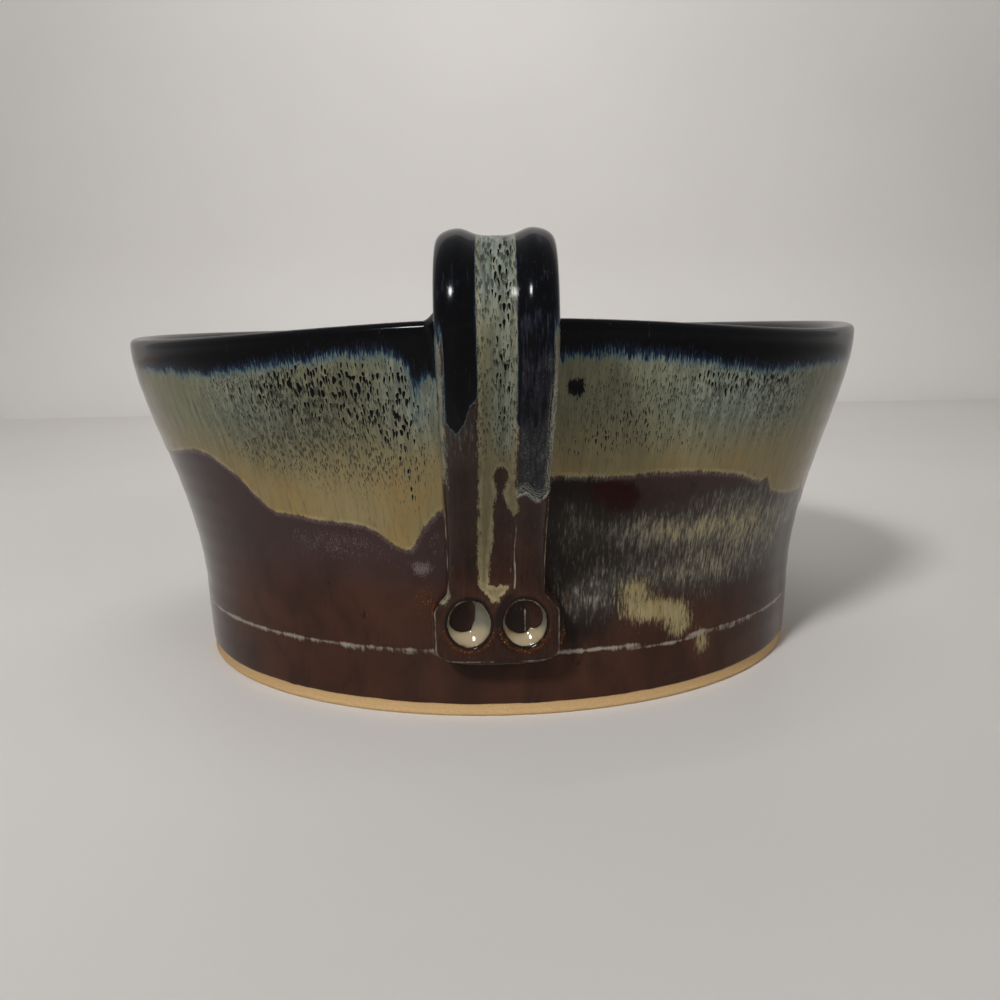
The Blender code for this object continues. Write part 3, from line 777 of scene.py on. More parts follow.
def make_spike(finish):
    """Hollow spike turned about the axis: down its inside, out across its foot and up to its round tip."""
    angle = round_turn(128)
    tip_level = SPIKE_HEIGHT - SPIKE_TIP_RADIUS
    levels = np.linspace(0, tip_level, 90)
    tip = np.radians(np.linspace(0, 88, 20)[1:])
    inner = levels[::-3]
    inner = inner[spike_radius(inner) > SPIKE_WALL * 1.2]
    radii = (spike_radius(inner) - SPIKE_WALL, spike_radius(levels), SPIKE_TIP_RADIUS * np.cos(tip))
    heights = (inner, levels, tip_level + SPIKE_TIP_RADIUS * np.sin(tip))
    shown = (0 * inner, 1 + 0 * levels, 1 - smooth(np.arange(len(tip)) / len(tip)))
    radius, level, outer = (np.concatenate(parts)[:, None] for parts in (radii, heights, shown))
    rings = (wave(level / 5.1 + angle / 360) - 1) * SPIKE_RING_DEPTH * outer * smooth(level / 6)
    points = turned(radius + rings, angle, SPIKE_BASE + level)
    apex = (0, 0, SPIKE_BASE + float(inner[0]) + SPIKE_WALL / 4)
    top = (0, 0, SPIKE_BASE + SPIKE_HEIGHT)
    rust = (0.75 * smooth((level - 37) / 8) + 0.12 * hump(rings, 0, 0.05)) * outer
    spike = grid_piece("apple_spike_glazed", points, {"rust": rust}, finish, poles=(apex, top))
    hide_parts("apple_spike")


def make_spike_coil(finish):
    """Hollow fillet between spike and floor: a quarter circle carried round, closed behind and below."""
    angle = round_turn(160)
    swing = np.linspace(0, np.pi / 2, 16)
    level = SPIKE_COIL * (1 - np.sin(swing))
    radius = spike_radius(level) + SLIP_GAP / 2 + SPIKE_COIL * (1 - np.cos(swing))
    level = np.append(level, 0)[::-1, None]
    radius = np.append(radius, spike_radius(0) - 0.2)[::-1, None]
    thumb = THUMB_DEPTH * np.cos(np.radians(angle * 17))
    thumb = thumb * smooth((radius - SPIKE_FOOT_RADIUS) / 3) * smooth(level / 1.5)
    points = turned(radius - np.abs(thumb) * 0.6, angle, SPIKE_BASE + level)
    coil = grid_piece("spike_fillet", points, {}, finish, wrap_rows=True)
    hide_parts("spike_coil")


STRAP_COLUMNS = 240


def make_handle(finish):
    """The strap's section carried along its middle line and pressed in by two fingertips.

    It is trimmed to the wall at its root and laid on the wall behind its pad. The fingertips push up a low
    rim of clay under their dimples.
    """
    turn = section_turns(STRAP_COLUMNS)[None, :]
    first = mix(leaves_wall(turn, 1.2), 1, np.linspace(0, 1, 84)[:, None])
    bend = 1 + np.linspace(0, 1, 64)[1:]
    sweep = 2 + np.linspace(0, 1, 150)[1:]
    pad = 3 + np.sin(np.pi / 2 * np.linspace(0, 1, 66)[1:])
    place = np.concatenate([first, np.concatenate([bend, sweep, pad])[:, None] + 0 * turn])
    x, y, z, across, lift = strap_point(place, turn)
    front = np.sin(turn)
    back = smooth(-front * 2.5) * smooth((place - 2.72) / 0.3)
    y = mix(y, np.maximum(wall_face(x, z, 0.25), y), back)
    z = z + pad_sag(x, z) * (place > 3)
    pressing = (front > 0) & (place > 2.8)
    depth, ridge = 0 * x, 0 * x
    for side in (-1, 1):
        deep, rim = dimple_floor(x, z, side)
        brim = 0.5 * BRIM_SOFTNESS * np.exp(-np.abs(deep) / 0.8)
        depth = np.maximum(depth, np.where(rim < 1.6, softer_of(deep, 0, BRIM_SOFTNESS) - brim, 0))
        ridge = np.maximum(ridge, hump(rim, 1.13, 0.1) * smooth((DIMPLE_LEVEL + 1 - z) / 3))
    y = y + (depth - RIDGE_HEIGHT * ridge) * pressing
    crest = SPANS[1][0][1]
    height = np.where(place >= 1, z, 2 * crest - z + STRAP_THICKNESS)
    fields = strap_fields(across, height, front, place)
    fields["flow"] = np.stack([across + STRAP_FLOW, lift, height], -1)
    roll = hump(height, run_edge(across) + 0.3, 0.5) * smooth((across - 2.9) / 0.6) * smooth(front * 3)
    y = y - HEM_HEIGHT * roll * (place > 2)
    points = np.stack([x, y, z], -1)
    root_level = RIM_HEIGHT - ROOT_DROP
    start = (0, 1.6 - float(wall_radius(root_level)), root_level)
    handle = grid_piece("handle", points, fields, finish, poles=(start, points[-1].mean(0)))
    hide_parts("handle_strap")


def make_root_fillet(finish):
    """Clay worked into the corner round the root.

    At each side of the section a hollow Bezier runs from a toe on the wall to a line on the strap. It is
    closed through a point inside the clay.
    """
    turn = section_turns(200)[None, :]
    meets = leaves_wall(turn, 0.0)
    web = hump(turn, 2.75, 0.45)
    reach = 0.7 + 3.2 * web
    x0, y0, z0, _across, _lift = strap_point(meets, turn)
    heart = np.array([x0.mean(), y0.mean(), z0.mean()])
    out_x, out_z = (x0 - heart[0]) / (ROOT_WIDTH / 2), (z0 - heart[2]) / (ROOT_THICKNESS / 2)
    norm = np.hypot(out_x, out_z)
    toe_x = x0 + reach * out_x / norm
    toe_z = np.minimum(z0 + 0.85 * reach * out_z / norm + 4 * web, RIM_HEIGHT + lip_sway(0) - 0.15)
    toe = np.stack([toe_x, wall_face(toe_x, toe_z, 0.06), toe_z], -1)
    corner = np.stack([x0 - 1.4 * web, y0 - 1.3 * web, z0 + 5.7 * web], -1)
    strap = mix(np.stack(strap_point(meets + 0.05 + 0.27 * web, turn)[:3], -1), heart, 0.012)
    core = mix(np.stack(strap_point(meets + 0.03, turn)[:3], -1), heart, 0.12) + (0, 1.4, 0)
    share = np.linspace(0, 1, 14)[:, None, None]
    hollow = toe * (1 - share) ** 2 + 2 * corner * share * (1 - share) + strap * share**2
    points = np.concatenate([hollow, core])
    angle = angle_of(points)
    height = np.minimum(unswayed(points[..., 2], angle), RIM_HEIGHT)
    fields = wall_fields(angle, height)
    fields["dark"] = fields["dark"] + 0.3 * smooth((height - 56) / 6)
    fields["blue"] = 0.9
    fields["flow"] = wall_flow(angle, points[..., 2])
    fillet = grid_piece("handle_root_fillet", points, fields, finish, wrap_rows=True)
    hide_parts("handle_root_coil")


def make_pad_slip(finish):
    """Slip squeezed out round the pad: a bead that swells and thins along the pad's outline on the wall."""
    half = PAD_WIDTH / 2
    top = PAD_TOP - PAD_SHOULDER * 0.8 - PAD_BOTTOM
    corner = np.linspace(0, np.pi / 2, 40)
    sides = np.concatenate([[0], half * mix(PAD_FLAT, 1, np.sin(corner)), [half]])
    rises = np.concatenate([[0], PAD_ROUND * (1 - np.cos(corner)), [top]])
    length = length_along(sides, rises)
    share = np.linspace(0, 1, 241)
    walk = np.abs(share * 2 - 1) * length[-1]
    across = np.sign(share - 0.5) * np.interp(walk, length, sides)
    height = PAD_BOTTOM + np.interp(walk, length, rises)
    height = height + pad_sag(across, height)
    swell = PAD_BEAD_RADIUS * (0.7 + 0.12 * np.cos(share * 29) + 0.06 * np.cos(share * 67 + 1))
    swell = swell * smooth(np.minimum(share, 1 - share) * 14 + 0.12)
    radius = wall_radius(height) + SLIP_GAP / 2
    centre = np.stack([across, -np.sqrt(radius**2 - across**2), height], -1)
    along = np.gradient(centre, axis=0)
    along = along / np.linalg.norm(along, axis=1, keepdims=True)
    outward = np.stack([across, centre[:, 1], 0 * across], -1) / radius[:, None]
    sideways = np.cross(along, outward)
    turn = np.linspace(0, 2 * np.pi, 25)[:-1]
    ring = outward[:, None] * np.cos(turn)[:, None] + sideways[:, None] * np.sin(turn)[:, None]
    points = centre[:, None] + ring * swell[:, None, None]
    angle = angle_of(points)
    fields = wall_fields(angle, points[..., 2])
    fields.update(
        cream=-5,
        veil=0,
        patch=0,
        rust=0.45 + 0.4 * np.cos(share * 23)[:, None],
        line=0.5 * hump(turn, np.pi / 2, 0.25),
        flow=wall_flow(angle, points[..., 2]),
    )
    slip = grid_piece("pad_slip", points, fields, finish, poles=(centre[0], centre[-1]))
    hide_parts("handle_pad_bead")


# Side of each pool, and (turn round its dimple in degrees, share of the radius it reaches in from the rim)
POOL_SHAPES = {
    # The left pool reaches up its dimple's right side, where its finish paints a grey sheen
    "left": (-1, (
        (172, 0.04), (190, 0.12), (215, 0.3), (250, 0.52), (280, 0.6), (300, 0.72), (330, 0.76),
        (360, 0.74), (388, 0.68), (405, 0.6), (420, 0.42), (430, 0.16), (440, 0.03),
    )),
    "right": (1, (
        (176, 0.04), (195, 0.14), (222, 0.3), (255, 0.42), (285, 0.5), (306, 0.6), (325, 0.4),
        (350, 0.22), (385, 0.1), (410, 0.02),
    )),
}


def make_pools(finish):
    """Glaze set in the lower half of each dimple: a crescent in polar steps round it, a thin film across."""
    loop = np.linspace(0, 2 * np.pi, 33)[:-1][::-1]
    share = 0.5 - 0.5 * np.cos(loop)
    upper = np.sin(loop)
    kernel = np.hanning(11) / np.hanning(11).sum()
    (start_out, start_high), (end_out, end_high) = SPANS[3][0], SPANS[3][3]
    for word, (side, shape) in POOL_SHAPES.items():
        turn = np.linspace(shape[0][0], shape[-1][0], 90)
        reach = np.convolve(np.pad(typed(shape, turn), 5, mode="edge"), kernel, "valid")[:, None]
        spin = np.radians(turn)[:, None]
        rim = 0.95 - reach * share
        x = side * DIMPLE_PITCH / 2 + DIMPLE_RADIUS * rim * np.cos(spin)
        z = DIMPLE_LEVEL + DIMPLE_RADIUS * DIMPLE_TALL * rim * np.sin(spin)
        deep, _rim = dimple_floor(x, z, side)
        face = np.interp(z, (end_high, start_high), (end_out, start_out)) + (PAD_THICKNESS - FACET_ROOM) / 2
        thick = FILM_THICKNESS * np.minimum(1, 2.5 * reach) * signed_power(upper, 0.5) + 0.03
        points = np.stack([x, -(face - deep + thick), z], -1)
        fields = {
            "flow": points,
            "pool": np.abs(upper) * np.minimum(1, reach * 2.2),
            "rise": (z - DIMPLE_LEVEL) / DIMPLE_RADIUS,
        }
        pool = grid_piece(f"pool_{word}", points, fields, finish, poles=points[[0, -1]].mean(1))
        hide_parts(f"glaze_pool_{word}")


# Finishes

def tone(red, green, blue):
    """A colour written in 0 to 255 screen values, as the linear light that nodes use."""
    share = np.array([red, green, blue]) / 255
    linear = np.where(share <= 0.04045, share / 12.92, ((share + 0.055) / 1.055) ** 2.4)
    return (*linear.tolist(), 1.0)


class Signal:
    """A value inside a tree of nodes, which adds and multiplies like a number by making Math nodes."""

    def __init__(self, nodes, socket):
        self.nodes = nodes
        self.socket = socket

    def combine(self, operation, first, second):
        node = self.nodes.node("Math", {0: first, 1: second}, operation=operation)
        return Signal(self.nodes, node.outputs[0])

    def __add__(self, other):
        return self.combine("ADD", self, other)

    __radd__ = __add__

    def __sub__(self, other):
        return self.combine("SUBTRACT", self, other)

    def __rsub__(self, other):
        return self.combine("SUBTRACT", other, self)

    def __mul__(self, other):
        return self.combine("MULTIPLY", self, other)

    __rmul__ = __mul__

    def larger(self, other):
        return self.combine("MAXIMUM", self, other)

    def power(self, exponent):
        return self.combine("POWER", self, exponent)

    def fold(self, width):
        """Climbs to the width and falls back to 0, over and over."""
        return self.combine("PINGPONG", self, width)

    def away(self, middle):
        """Distance from a middle value."""
        return (self - middle).larger(middle - self)

    def spread(self, limits, **settings):
        """The value carried from one range to another."""
        node = self.nodes.node("MapRange", {"Value": self, **limits}, **settings)
        return Signal(self.nodes, node.outputs["Result"])

    def stretch(self, low, high):
        """Straight line from 0 at low to 1 at high, carried on past both."""
        return self.spread({"From Min": low, "From Max": high}, clamp=False)

    def step(self, low, high, start=0.0, end=1.0):
        """Smooth step from start to end as the value goes from low to high."""
        limits = {"From Min": low, "From Max": high, "To Min": start, "To Max": end}
        return self.spread(limits, interpolation_type="SMOOTHSTEP")


class Nodes:
    """A tree of shader nodes."""

    def __init__(self, tree):
        self.tree = tree

    def node(self, kind, inputs=(), **settings):
        """A new node with these settings, and with these inputs set or linked."""
        made = self.tree.nodes.new("ShaderNode" + kind)
        for key, value in settings.items():
            setattr(made, key, value)
        for key, value in dict(inputs).items():
            self.put(made.inputs[key], value)
        return made

    def put(self, socket, value):
        """Sets a socket to a plain value, or links it to one made by a node."""
        if isinstance(value, Signal):
            value = value.socket
        if isinstance(value, bpy.types.NodeSocket):
            self.tree.links.new(value, socket)
        else:
            socket.default_value = value

    def seen(self):
        """1 for what the camera, a reflection or glass sees, and 0 for light that falls on things."""
        rays = self.node("LightPath").outputs
        return sum(Signal(self, rays[f"Is {kind} Ray"]) for kind in ("Camera", "Glossy", "Transmission"))


class Finish(Nodes):
    """A fired finish, built as shader nodes."""

    def __init__(self, name):
        self.material = bpy.data.materials.new(name)
        self.material.use_nodes = True
        super().__init__(self.material.node_tree)
        self.shader = self.tree.nodes["Principled BSDF"]

    def surface(self, name, value):
        """Sets or links an input of the shader."""
        self.put(self.shader.inputs[name], value)

    def field(self, name):
        """A field that the piece's points carry. One that they don't carry reads 0."""
        return Signal(self, self.node("Attribute", attribute_name=name).outputs["Fac"])

    def flow(self):
        """The piece's own place along its runs of glaze, in millimetres."""
        return self.node("Attribute", attribute_name="flow").outputs["Vector"]

    def mapped(self, place, scale, shift=(0, 0, 0)):
        """A place with its axes scaled and shifted."""
        node = self.node("Mapping", {"Vector": place, "Location": shift, "Scale": scale})
        return node.outputs["Vector"]

    def noise(self, place, wide, tall, detail=3.0, rough=0.55, twist=0.0, shift=0.0):
        """Noise whose blots are about this wide and tall."""
        scale = (0.5 / wide, 0.5 / wide, 0.5 / tall)
        place = self.mapped(place, scale, (shift, shift * 0.7, shift * 1.3))
        inputs = {"Vector": place, "Scale": 1.0, "Detail": detail, "Roughness": rough, "Distortion": twist}
        return Signal(self, self.node("TexNoise", inputs).outputs[0]).stretch(0.3, 0.7)

    def drops(self, place, wide, tall, size):
        """Drops with a round head and a tail that tapers downwards, one to a cell: positive inside.

        The head's radius is the size times a share that differs from cell to cell.
        """
        place = self.mapped(place, (1 / wide, 1 / tall, 1))
        cells = self.node("TexVoronoi", {"Vector": place, "Scale": 1.0}, voronoi_dimensions="2D").outputs
        apart = self.node("VectorMath", {0: place, 1: cells["Position"]}, operation="SUBTRACT")
        axes = self.node("SeparateXYZ", {0: apart.outputs["Vector"]}).outputs
        side, over, _flat = (Signal(self, axis) for axis in axes)
        cap = over.larger(0.0) * (0.6 * tall / wide)
        away = (side * side + cap * cap).power(0.5)
        chance = Signal(self, self.node("SeparateColor", {"Color": cells["Color"]}).outputs[0])
        radius = size * (1.6 * chance - 0.1)
        return radius * over.step(-0.8, 0.0) - away

    def blend(self, share, under, over):
        """Colour under, covered by colour over as far as share says."""
        return self.node("Mix", {0: share, 6: under, 7: over}, data_type="RGBA").outputs[2]

    def ramp(self, value, stops):
        """Colour read from (place, colour) stops."""
        node = self.node("ValToRGB", {"Fac": value})
        bar = node.color_ramp.elements
        while len(bar) < len(stops):
            bar.new(0.5)
        for element, (position, colour) in zip(bar, stops):
            element.position = position
            element.color = colour
        return node.outputs["Color"]

    def bump(self, height, strength, distance):
        node = self.node("Bump", {"Height": height, "Strength": strength, "Distance": distance})
        self.surface("Normal", node.outputs["Normal"])


CHOCOLATE = tone(62, 38, 28)
DARK_CHOCOLATE = tone(47, 30, 23)
SHADE_AND_UMBER = tone(22, 17, 14)
PLUM = tone(54, 41, 40)
LAVENDER = tone(128, 116, 118)
OXBLOOD = tone(36, 7, 5)
SMOKE = tone(50, 53, 48)
HAIR_BROWN = tone(62, 52, 36)
DARK_ASH = tone(50, 46, 42)
ASH = tone(92, 87, 78)
PALE_ASH = tone(136, 129, 116)
DARK_STRAW = tone(62, 56, 40)
PALE_STRAW = tone(142, 132, 98)
KHAKI = tone(92, 92, 73)
CREAM = tone(108, 105, 81)
STRAW = tone(128, 113, 78)
AMBER = tone(130, 108, 66)
PALE_EDGE = tone(160, 148, 116)
TEAL = tone(88, 100, 96)
PALE_TEAL = tone(138, 148, 140)
SKY = tone(62, 80, 86)
SEA_BLUE = tone(26, 40, 56)
SLATE = tone(36, 40, 40)
NAVY = tone(13, 18, 30)
DUSK = tone(30, 28, 33)
LACE = tone(140, 141, 127)
BLACK = tone(3, 3, 4)
RUST = tone(66, 31, 12)
GOLD = tone(160, 116, 56)
CLAY = tone(182, 153, 111)
CLAY_SHADE = tone(169, 138, 96)
SPECK = tone(44, 44, 37)
RUST_SHADE = tone(52, 27, 15)
POOL_EDGE = tone(90, 68, 42)
POOL_THIN = tone(124, 109, 82)
POOL_DEEP = tone(142, 128, 101)
POOL_SHEEN = tone(84, 85, 75)
WALL_PAINT = (tone(218, 214, 210), tone(222, 218, 214))
FLOOR_PAINT = (tone(212, 208, 204), tone(216, 212, 208))


def stoneware_glaze(name):
    """The dipped coats from the bare clay up: brown, its veils, cream, and the black run from the lip.
    Painted shadow and shade darken the brown in places.
    """
    finish = Finish(name)
    field, blend = finish.field, finish.blend
    flow = finish.flow()
    strokes = finish.noise(flow, 0.3, 1.5, 3, 0.6, 0.2) - 0.5
    hairs = finish.noise(flow, 0.13, 2.0, 2, 0.6, 0.1, 7.3) - 0.5
    drift = finish.noise(flow, 5, 7, 3, 0.55, 0.4, 3.1)
    blots = finish.noise(flow, 1.6, 2.0, 3, 0.6, 0.5, 9.1) - 0.5
    grain = finish.noise(flow, 0.12, 0.15, 2, 0.6, 0, 5.7) - 0.5
    streaks = finish.noise(flow, 0.5, 4, 4, 0.62, 0.5, 1.9)
    fibres = finish.noise(flow, 0.13, 0.8, 4, 0.65, 0.4, 12.7) - 0.5
    veins = finish.noise(flow, 0.3, 0.5, 2, 0.5, 1.5, 4.4)

    def coat(share, under, over, strength=1.0):
        """A coat over the colour under it, as far as its share and strength say."""
        return blend(share * strength, under, over)

    # Brown ground and its veils
    colour = blend(drift.step(0, 1), DARK_CHOCOLATE, CHOCOLATE)
    colour = coat(field("plum") * drift.step(0, 1, 0.7, 1.0), colour, PLUM)
    # Painted shadow and shade over the brown: the handle's shadow on the wall and the dimples' shade on the
    # pad, with darker patches of the brown
    colour = coat((field("umber_and_shade") + 0.3 * strokes + 0.2 * blots).step(0.1, 0.9), colour, SHADE_AND_UMBER, 0.9)
    colour = coat((field("red") + 0.7 * fibres + 0.5 * blots).step(0.2, 0.8), colour, OXBLOOD)
    flecks = field("fleck") + 0.5 * fibres + 0.6 * grain + 0.3 * blots
    colour = coat(flecks.step(0.45, 1.15), colour, LAVENDER, 0.45)
    veil = field("veil")
    veils = veil + 0.55 * fibres + 0.55 * strokes + 0.25 * blots
    colour = coat(veil.step(0.0, 0.5), colour, DARK_ASH, 0.75)
    grey_veil = finish.ramp(veils, ((0.2, DARK_ASH), (0.6, ASH), (1.0, PALE_ASH)))
    straw_veil = finish.ramp(veils, ((0.2, DARK_STRAW), (0.6, ASH), (1.0, PALE_STRAW)))
    veil_colour = blend(field("straw"), grey_veil, straw_veil)
    colour = coat(veils.step(0.1, 0.85) * veil.step(0.02, 0.25), colour, veil_colour)
    patch = (field("patch") + 0.6 * fibres + 0.45 * strokes).step(0.35, 0.95)
    colour = coat(patch, colour, blend(streaks.step(0, 1), STRAW, PALE_STRAW))
    line = field("line") + 0.6 * blots + 0.4 * (drift - 0.5) + 0.25 * strokes
    colour = coat(line.step(0.5, 1.0), colour, PALE_ASH, 0.85)
    rust = field("rust") + 0.35 * strokes + 0.3 * grain + 0.3 * blots

    # Cream coat
    frayed = 0.3 * strokes + 0.7 * fibres + 0.4 * grain
    edge = field("cream") + field("fray") * frayed + 0.4 * blots
    cream = edge.step(-0.25, 0.3)
    halo = edge.step(-1.3, -0.2) * (edge + 0.8 * grain).step(-1.2, 0.2)
    colour = coat(halo * field("plum").step(0.3, 0.9), colour, LAVENDER, 0.35)
    body = blend(streaks.step(0.1, 0.9), KHAKI, CREAM)
    ochre = blend(drift.step(0.1, 0.9), STRAW, AMBER)
    body = coat(field("warm") * streaks.step(0, 1, 0.7, 1.0), body, ochre)
    body = coat(field("blue"), body, blend(streaks.step(0.2, 1.0), TEAL, PALE_TEAL), 0.62)
    body = coat(hairs.step(0.08, 0.6), body, HAIR_BROWN, 0.32)
    body = coat(field("smoke") * streaks.step(0.1, 0.9, 1.0, 0.6), body, SMOKE, 0.55)
    fringe = edge.step(-0.1, 0.2) * edge.step(0.25, 1.0, 1.0, 0.0) * blots.step(-0.5, 0.3)
    body = coat(fringe, body, PALE_EDGE, 0.45)
    colour = blend(cream, colour, body)

    # Drops and specks that show the dark ground through the cream
    wander = finish.noise(flow, 1.2, 1.6, 2, 0.5, 0, 15.1) - 0.5
    across, up = field("arc") + 0.5 * wander, field("rise") + 0.7 * blots
    spot = finish.node("CombineXYZ", {0: across, 1: up}).outputs[0]
    size = field("drops")
    drops = finish.drops(spot, 0.56, 1.8, size) + 0.07 * hairs
    specks = finish.drops(spot, 0.36, 1.25, field("specks")) + 0.1 * grain
    rims = drops.step(-0.16, -0.02) * size.step(0.08, 0.22)
    colour = coat(rims * cream, colour, PALE_EDGE, 0.25)
    colour = coat(specks.step(-0.06, 0.14) * cream, colour, SPECK, 0.8)
    pits = drops.step(-0.02, 0.05)
    colour = blend(pits, colour, blend(drops.step(0.0, 0.14), SLATE, BLACK))

    # Black lip, feathered through navy and blue
    cover = field("dark") + 0.32 * hairs + 0.5 * fibres + 0.25 * blots
    dark = cover.step(0.2, 0.36)
    dark_colour = finish.ramp(cover, ((0.3, TEAL), (0.42, SKY), (0.54, SEA_BLUE), (0.7, NAVY), (0.95, BLACK)))
    colour = blend(dark, colour, dark_colour)
    sparks = grain.step(0.25, 0.6) * cover.step(0.8, 1.2) * blots.step(-0.3, 0.4)
    colour = coat(sparks, colour, SEA_BLUE, 0.35)
    blot = field("blot") + 0.45 * fibres + 0.25 * grain + 0.45 * (veins - 0.5)
    colour = coat(blot.step(0.4, 0.6), colour, BLACK)
    mottle = field("rutile") + 0.5 * strokes + 0.5 * hairs + 0.6 * blots
    mottle_colour = finish.ramp(0.45 * mottle, ((0.2, NAVY), (0.42, DUSK), (0.62, SLATE), (0.9, SKY)))
    colour = coat(mottle.step(0.35, 0.7), colour, mottle_colour)
    colour = coat(veins.away(0.5).step(0, 0.12, 1, 0) * mottle.step(0.6, 1.2), colour, PALE_TEAL, 0.2)
    lace = field("lace")
    turns = 4.5 * lace + 1.6 * blots + 0.9 * (veins - 0.5)
    curls = turns.fold(0.5).step(0.2, 0.45)
    colour = coat(curls * lace.step(0.1, 0.6), colour, LACE, 0.8)
    liner = 0.45 * drift + 0.4 * streaks + 0.3 * blots
    liner_colour = finish.ramp(liner, ((0.2, BLACK), (0.45, NAVY), (0.7, SEA_BLUE), (0.95, SKY)))
    colour = coat(field("liner"), colour, liner_colour)
    hem = field("hem") + 0.5 * (veins - 0.5) + 0.3 * strokes
    colour = coat(hem.step(0.4, 0.75), colour, LACE, 0.75)
    colour = coat(rust.step(0.25, 1.0), colour, blend(grain.step(0.25, 0.5), RUST, GOLD))

    # Bare foot
    bare = (field("clay") + 0.3 * (drift - 0.5)).step(-0.1, 0.1)
    colour = blend(bare, colour, blend(grain.step(-0.5, 0.5), CLAY_SHADE, CLAY))

    finish.surface("Base Color", colour)
    gloss = 0.14 + 0.05 * (drift - 0.5)
    finish.surface("Roughness", gloss + bare * 0.65)
    finish.surface("Specular IOR Level", 0.1)
    brushed = (strokes * 0.25 + grain * 0.06) * dark.step(0, 1, 1, 0.15)
    finish.bump(brushed + bare * grain * 1.5 + cream * 0.4 - pits * 0.5, 0.13, 0.0002)
    return finish.material


def liner_glaze(name):
    """Dark liner that breaks to rust where it runs thin over an edge."""
    finish = Finish(name)
    place = finish.node("TexCoord").outputs["Object"]
    cloud = finish.noise(place, 0.006, 0.006, 4, 0.6, 0.5)
    grain = finish.noise(place, 0.0005, 0.0008, 2, 0.6)
    colour = finish.ramp(cloud, ((0.25, BLACK), (0.5, NAVY), (0.75, SEA_BLUE), (1.0, SKY)))
    rusty = (finish.field("rust") + 0.8 * (cloud - 0.5) + 0.5 * (grain - 0.5)).step(0.2, 0.9)
    colour = finish.blend(rusty, colour, finish.blend(grain.step(0.4, 0.7), RUST_SHADE, RUST))
    finish.surface("Base Color", colour)
    finish.surface("Roughness", 0.07 + 0.1 * cloud)
    finish.bump(cloud + grain * 0.2, 0.2, 0.0003)
    return finish.material


def pool_glaze(name):
    """Thick pale glass, straw-coloured where it thins, with a painted grey sheen towards its top."""
    finish = Finish(name)
    cloud = finish.noise(finish.flow(), 1.4, 1.4, 3, 0.6)
    thick = finish.field("pool") + 0.6 * (cloud - 0.5)
    colour = finish.ramp(thick, ((0.0, POOL_EDGE), (0.3, POOL_THIN), (0.8, POOL_DEEP)))
    # Painted sheen: the pool turns grey towards its top
    high = (finish.field("rise") + 0.3 * (cloud - 0.5)).step(-0.65, 0.1)
    colour = finish.blend(high * 0.9, colour, POOL_SHEEN)
    finish.surface("Base Color", colour)
    finish.surface("Roughness", 0.05 + 0.06 * cloud)
    finish.bump(cloud, 0.1, 0.0002)
    return finish.material


# Studio, in metres

CAMERA_PLACE = (0.00095, -0.2602, 0.0727)
CAMERA_TILT = 80.62
CAMERA_ROLL = -1.17
CAMERA_LENS = 38.88  # millimetres, on a sensor 36 wide
COVE_RADIUS = 0.14
BACKDROP_HEIGHT = 1.0
BACKDROP_SUNK = 0.001  # its lower edge lies just under the floor
BAY_WIDTH = 1.15
BAY_DEPTH = 0.88
BAY_MIDDLE = -0.1
BAY_SQUARENESS = 0.55
FLOOR_HALF = 4
PALE_STRETCH = (1.25, 1, 1)  # the paint glows beyond an oval round this middle
PALE_MIDDLE = (0, 0.45, 0)
PALE_START = 0.68
PALE_END = 1.2
PALE_GLOW = 0.62
WORLD_COLOUR = (0.95, 0.97, 1, 1)
WORLD_LIGHT = 0.06
WORLD_SEEN = 0.5


def make_camera():
    """At the photograph's viewpoint: low in front of the handle, a little above the lip."""
    data = bpy.data.cameras.new("studio_camera")
    data.lens, data.sensor_width = CAMERA_LENS, 36
    data.clip_start, data.clip_end = 0.01, 20
    camera = add_object("studio_camera", data)
    tilt = Matrix.Rotation(math.radians(CAMERA_TILT), 4, "X")
    roll = Matrix.Rotation(math.radians(CAMERA_ROLL), 4, "Z")
    camera.matrix_world = Matrix.Translation(CAMERA_PLACE) @ tilt @ roll
    bpy.context.scene.camera = camera


def stage_paint(name, low, high):
    """Matt paint, faintly clouded between two tones. Far out, where the lamps fade, it still looks pale."""
    finish = Finish(name)
    place = finish.node("TexCoord").outputs["Object"]
    cloud = finish.noise(place, 0.12, 0.12, 2, 0.5)
    wide = finish.node("VectorMath", {0: place, 1: PALE_STRETCH}, operation="MULTIPLY").outputs["Vector"]
    away = finish.node("VectorMath", {0: wide, 1: PALE_MIDDLE}, operation="DISTANCE").outputs["Value"]
    fading = Signal(finish, away).step(PALE_START, PALE_END)
    finish.surface("Emission Color", high)
    finish.surface("Emission Strength", fading * finish.seen() * PALE_GLOW)
    finish.surface("Base Color", finish.blend(cloud.step(0, 1), low, high))
    finish.surface("Roughness", 0.5)
    finish.surface("Specular IOR Level", 0.2)
    return finish.material


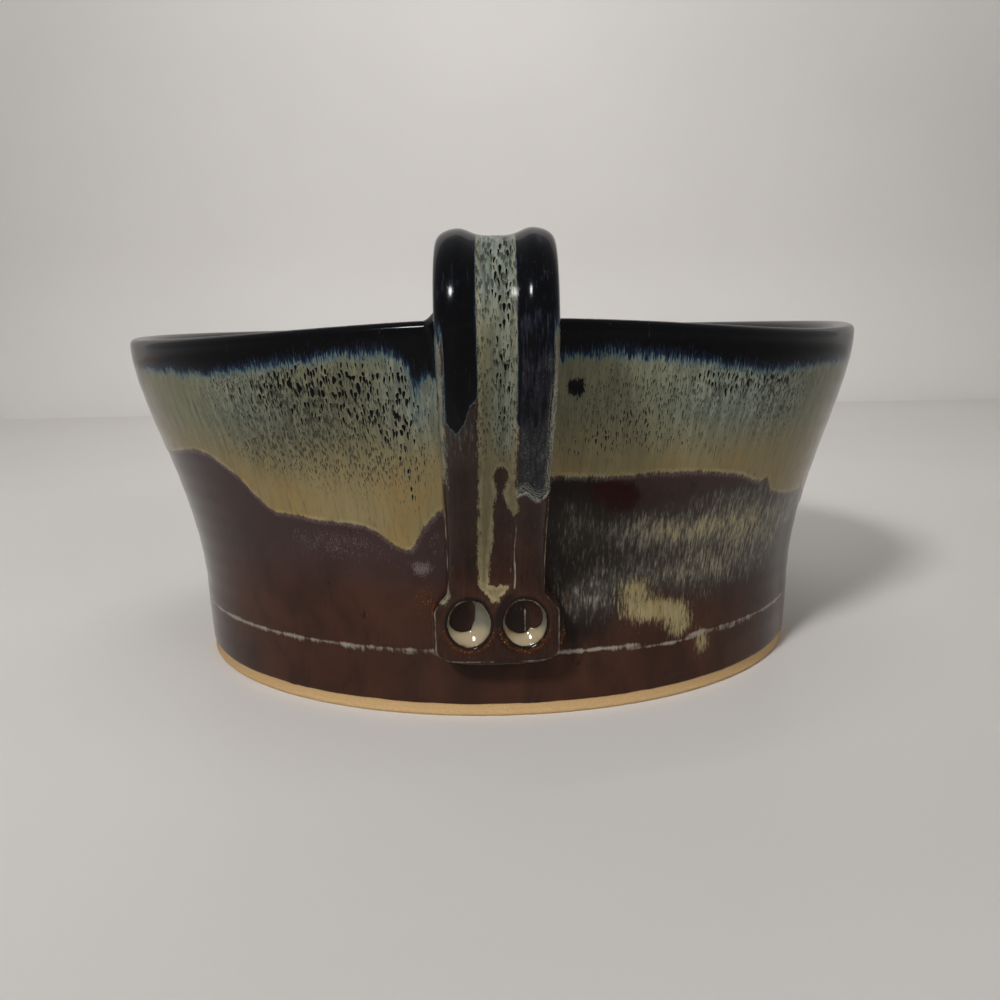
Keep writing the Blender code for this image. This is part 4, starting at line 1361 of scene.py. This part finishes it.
def make_stage():
    """Pale floor, and a pale wall in a wide bay behind the bowl: part of an oval in plan, coved below."""
    swing = np.radians(np.linspace(-40, 40, 61))[None, :]
    cove = np.radians(np.linspace(0, 90, 17))
    inset = np.append(COVE_RADIUS - COVE_RADIUS * np.sin(cove), 0)[:, None]
    level = np.append(COVE_RADIUS - COVE_RADIUS * np.cos(cove), BACKDROP_HEIGHT)[:, None] - BACKDROP_SUNK
    x = (BAY_WIDTH - inset) * signed_power(np.sin(swing), BAY_SQUARENESS)
    y = BAY_MIDDLE + (BAY_DEPTH - inset) * signed_power(np.cos(swing), BAY_SQUARENESS)
    wall = np.stack(np.broadcast_arrays(x, y, level), -1)
    side = np.linspace(-FLOOR_HALF, FLOOR_HALF, 9)
    ground = np.stack(np.broadcast_arrays(side[None, :], side[:, None], 0.0), -1)
    wall_paint = stage_paint("backdrop_paint", *WALL_PAINT)
    floor_paint = stage_paint("floor_paint", *FLOOR_PAINT)
    for name, points, paint in (("backdrop", wall, wall_paint), ("floor", ground, floor_paint)):
        rows, columns = points.shape[:2]
        numbers = np.arange(rows * columns).reshape(rows, columns)
        faces = np.stack([numbers[:-1, :-1], numbers[:-1, 1:], numbers[1:, 1:], numbers[1:, :-1]], -1)
        mesh = bpy.data.meshes.new(name)
        mesh.from_pydata(points.reshape(-1, 3).tolist(), [], faces.reshape(-1, 4).tolist())
        mesh.shade_smooth()
        mesh.materials.append(paint)
        sheet = add_object(name, mesh)


def make_lamp(name, place, aim, size, power, spread=180, mirrored=True):
    """A round lamp aimed at a point, with its beam's spread in degrees.

    One that isn't mirrored shows in no reflection.
    """
    data = bpy.data.lights.new(name, "AREA")
    data.shape, data.size, data.energy, data.spread = "DISK", size, power, math.radians(spread)
    lamp = add_object(name, data)
    lamp.location = place
    lamp.visible_glossy = mirrored
    lamp.rotation_mode = "QUATERNION"
    lamp.rotation_quaternion = (Vector(aim) - Vector(place)).to_track_quat("-Z", "Y")


def make_light():
    """Plain light: a key on the left, a soft fill on the right, a wide top light and a wash on the backdrop.

    The dim even world shows to the camera and in reflections as pale as the backdrop.
    """
    middle = (0, 0, 0.04)
    make_lamp("key", (-0.385, -0.826, 0.66), middle, 0.18, 1.44, 70)
    make_lamp("fill", (0.62, -0.86, 0.38), middle, 0.6, 0.58, 70, mirrored=False)
    make_lamp("top", (0.0, 0.0, 1.6), (0, 0.3, 0.1), 1.3, 0.55, mirrored=False)
    make_lamp("backdrop_wash", (0.0, 0.1, 0.85), (-0.2, 0.8, 0.65), 0.6, 5.4, mirrored=False)
    world = bpy.data.worlds.new("studio")
    world.use_nodes = True
    sky = Nodes(world.node_tree)
    background = sky.tree.nodes["Background"].inputs
    sky.put(background["Color"], WORLD_COLOUR)
    sky.put(background["Strength"], sky.seen().spread({"To Min": WORLD_LIGHT, "To Max": WORLD_SEEN}))
    bpy.context.scene.world = world


make_camera()
make_stage()
stoneware = stoneware_glaze("stoneware_glaze")
liner = liner_glaze("liner_glaze_fired")
make_bowl(stoneware)
make_spike(liner)
make_spike_coil(liner)
make_handle(stoneware)
make_root_fillet(stoneware)
make_pad_slip(stoneware)
make_pools(pool_glaze("pool_glaze"))
make_light()
bpy.context.scene.view_settings.view_transform = "Standard"
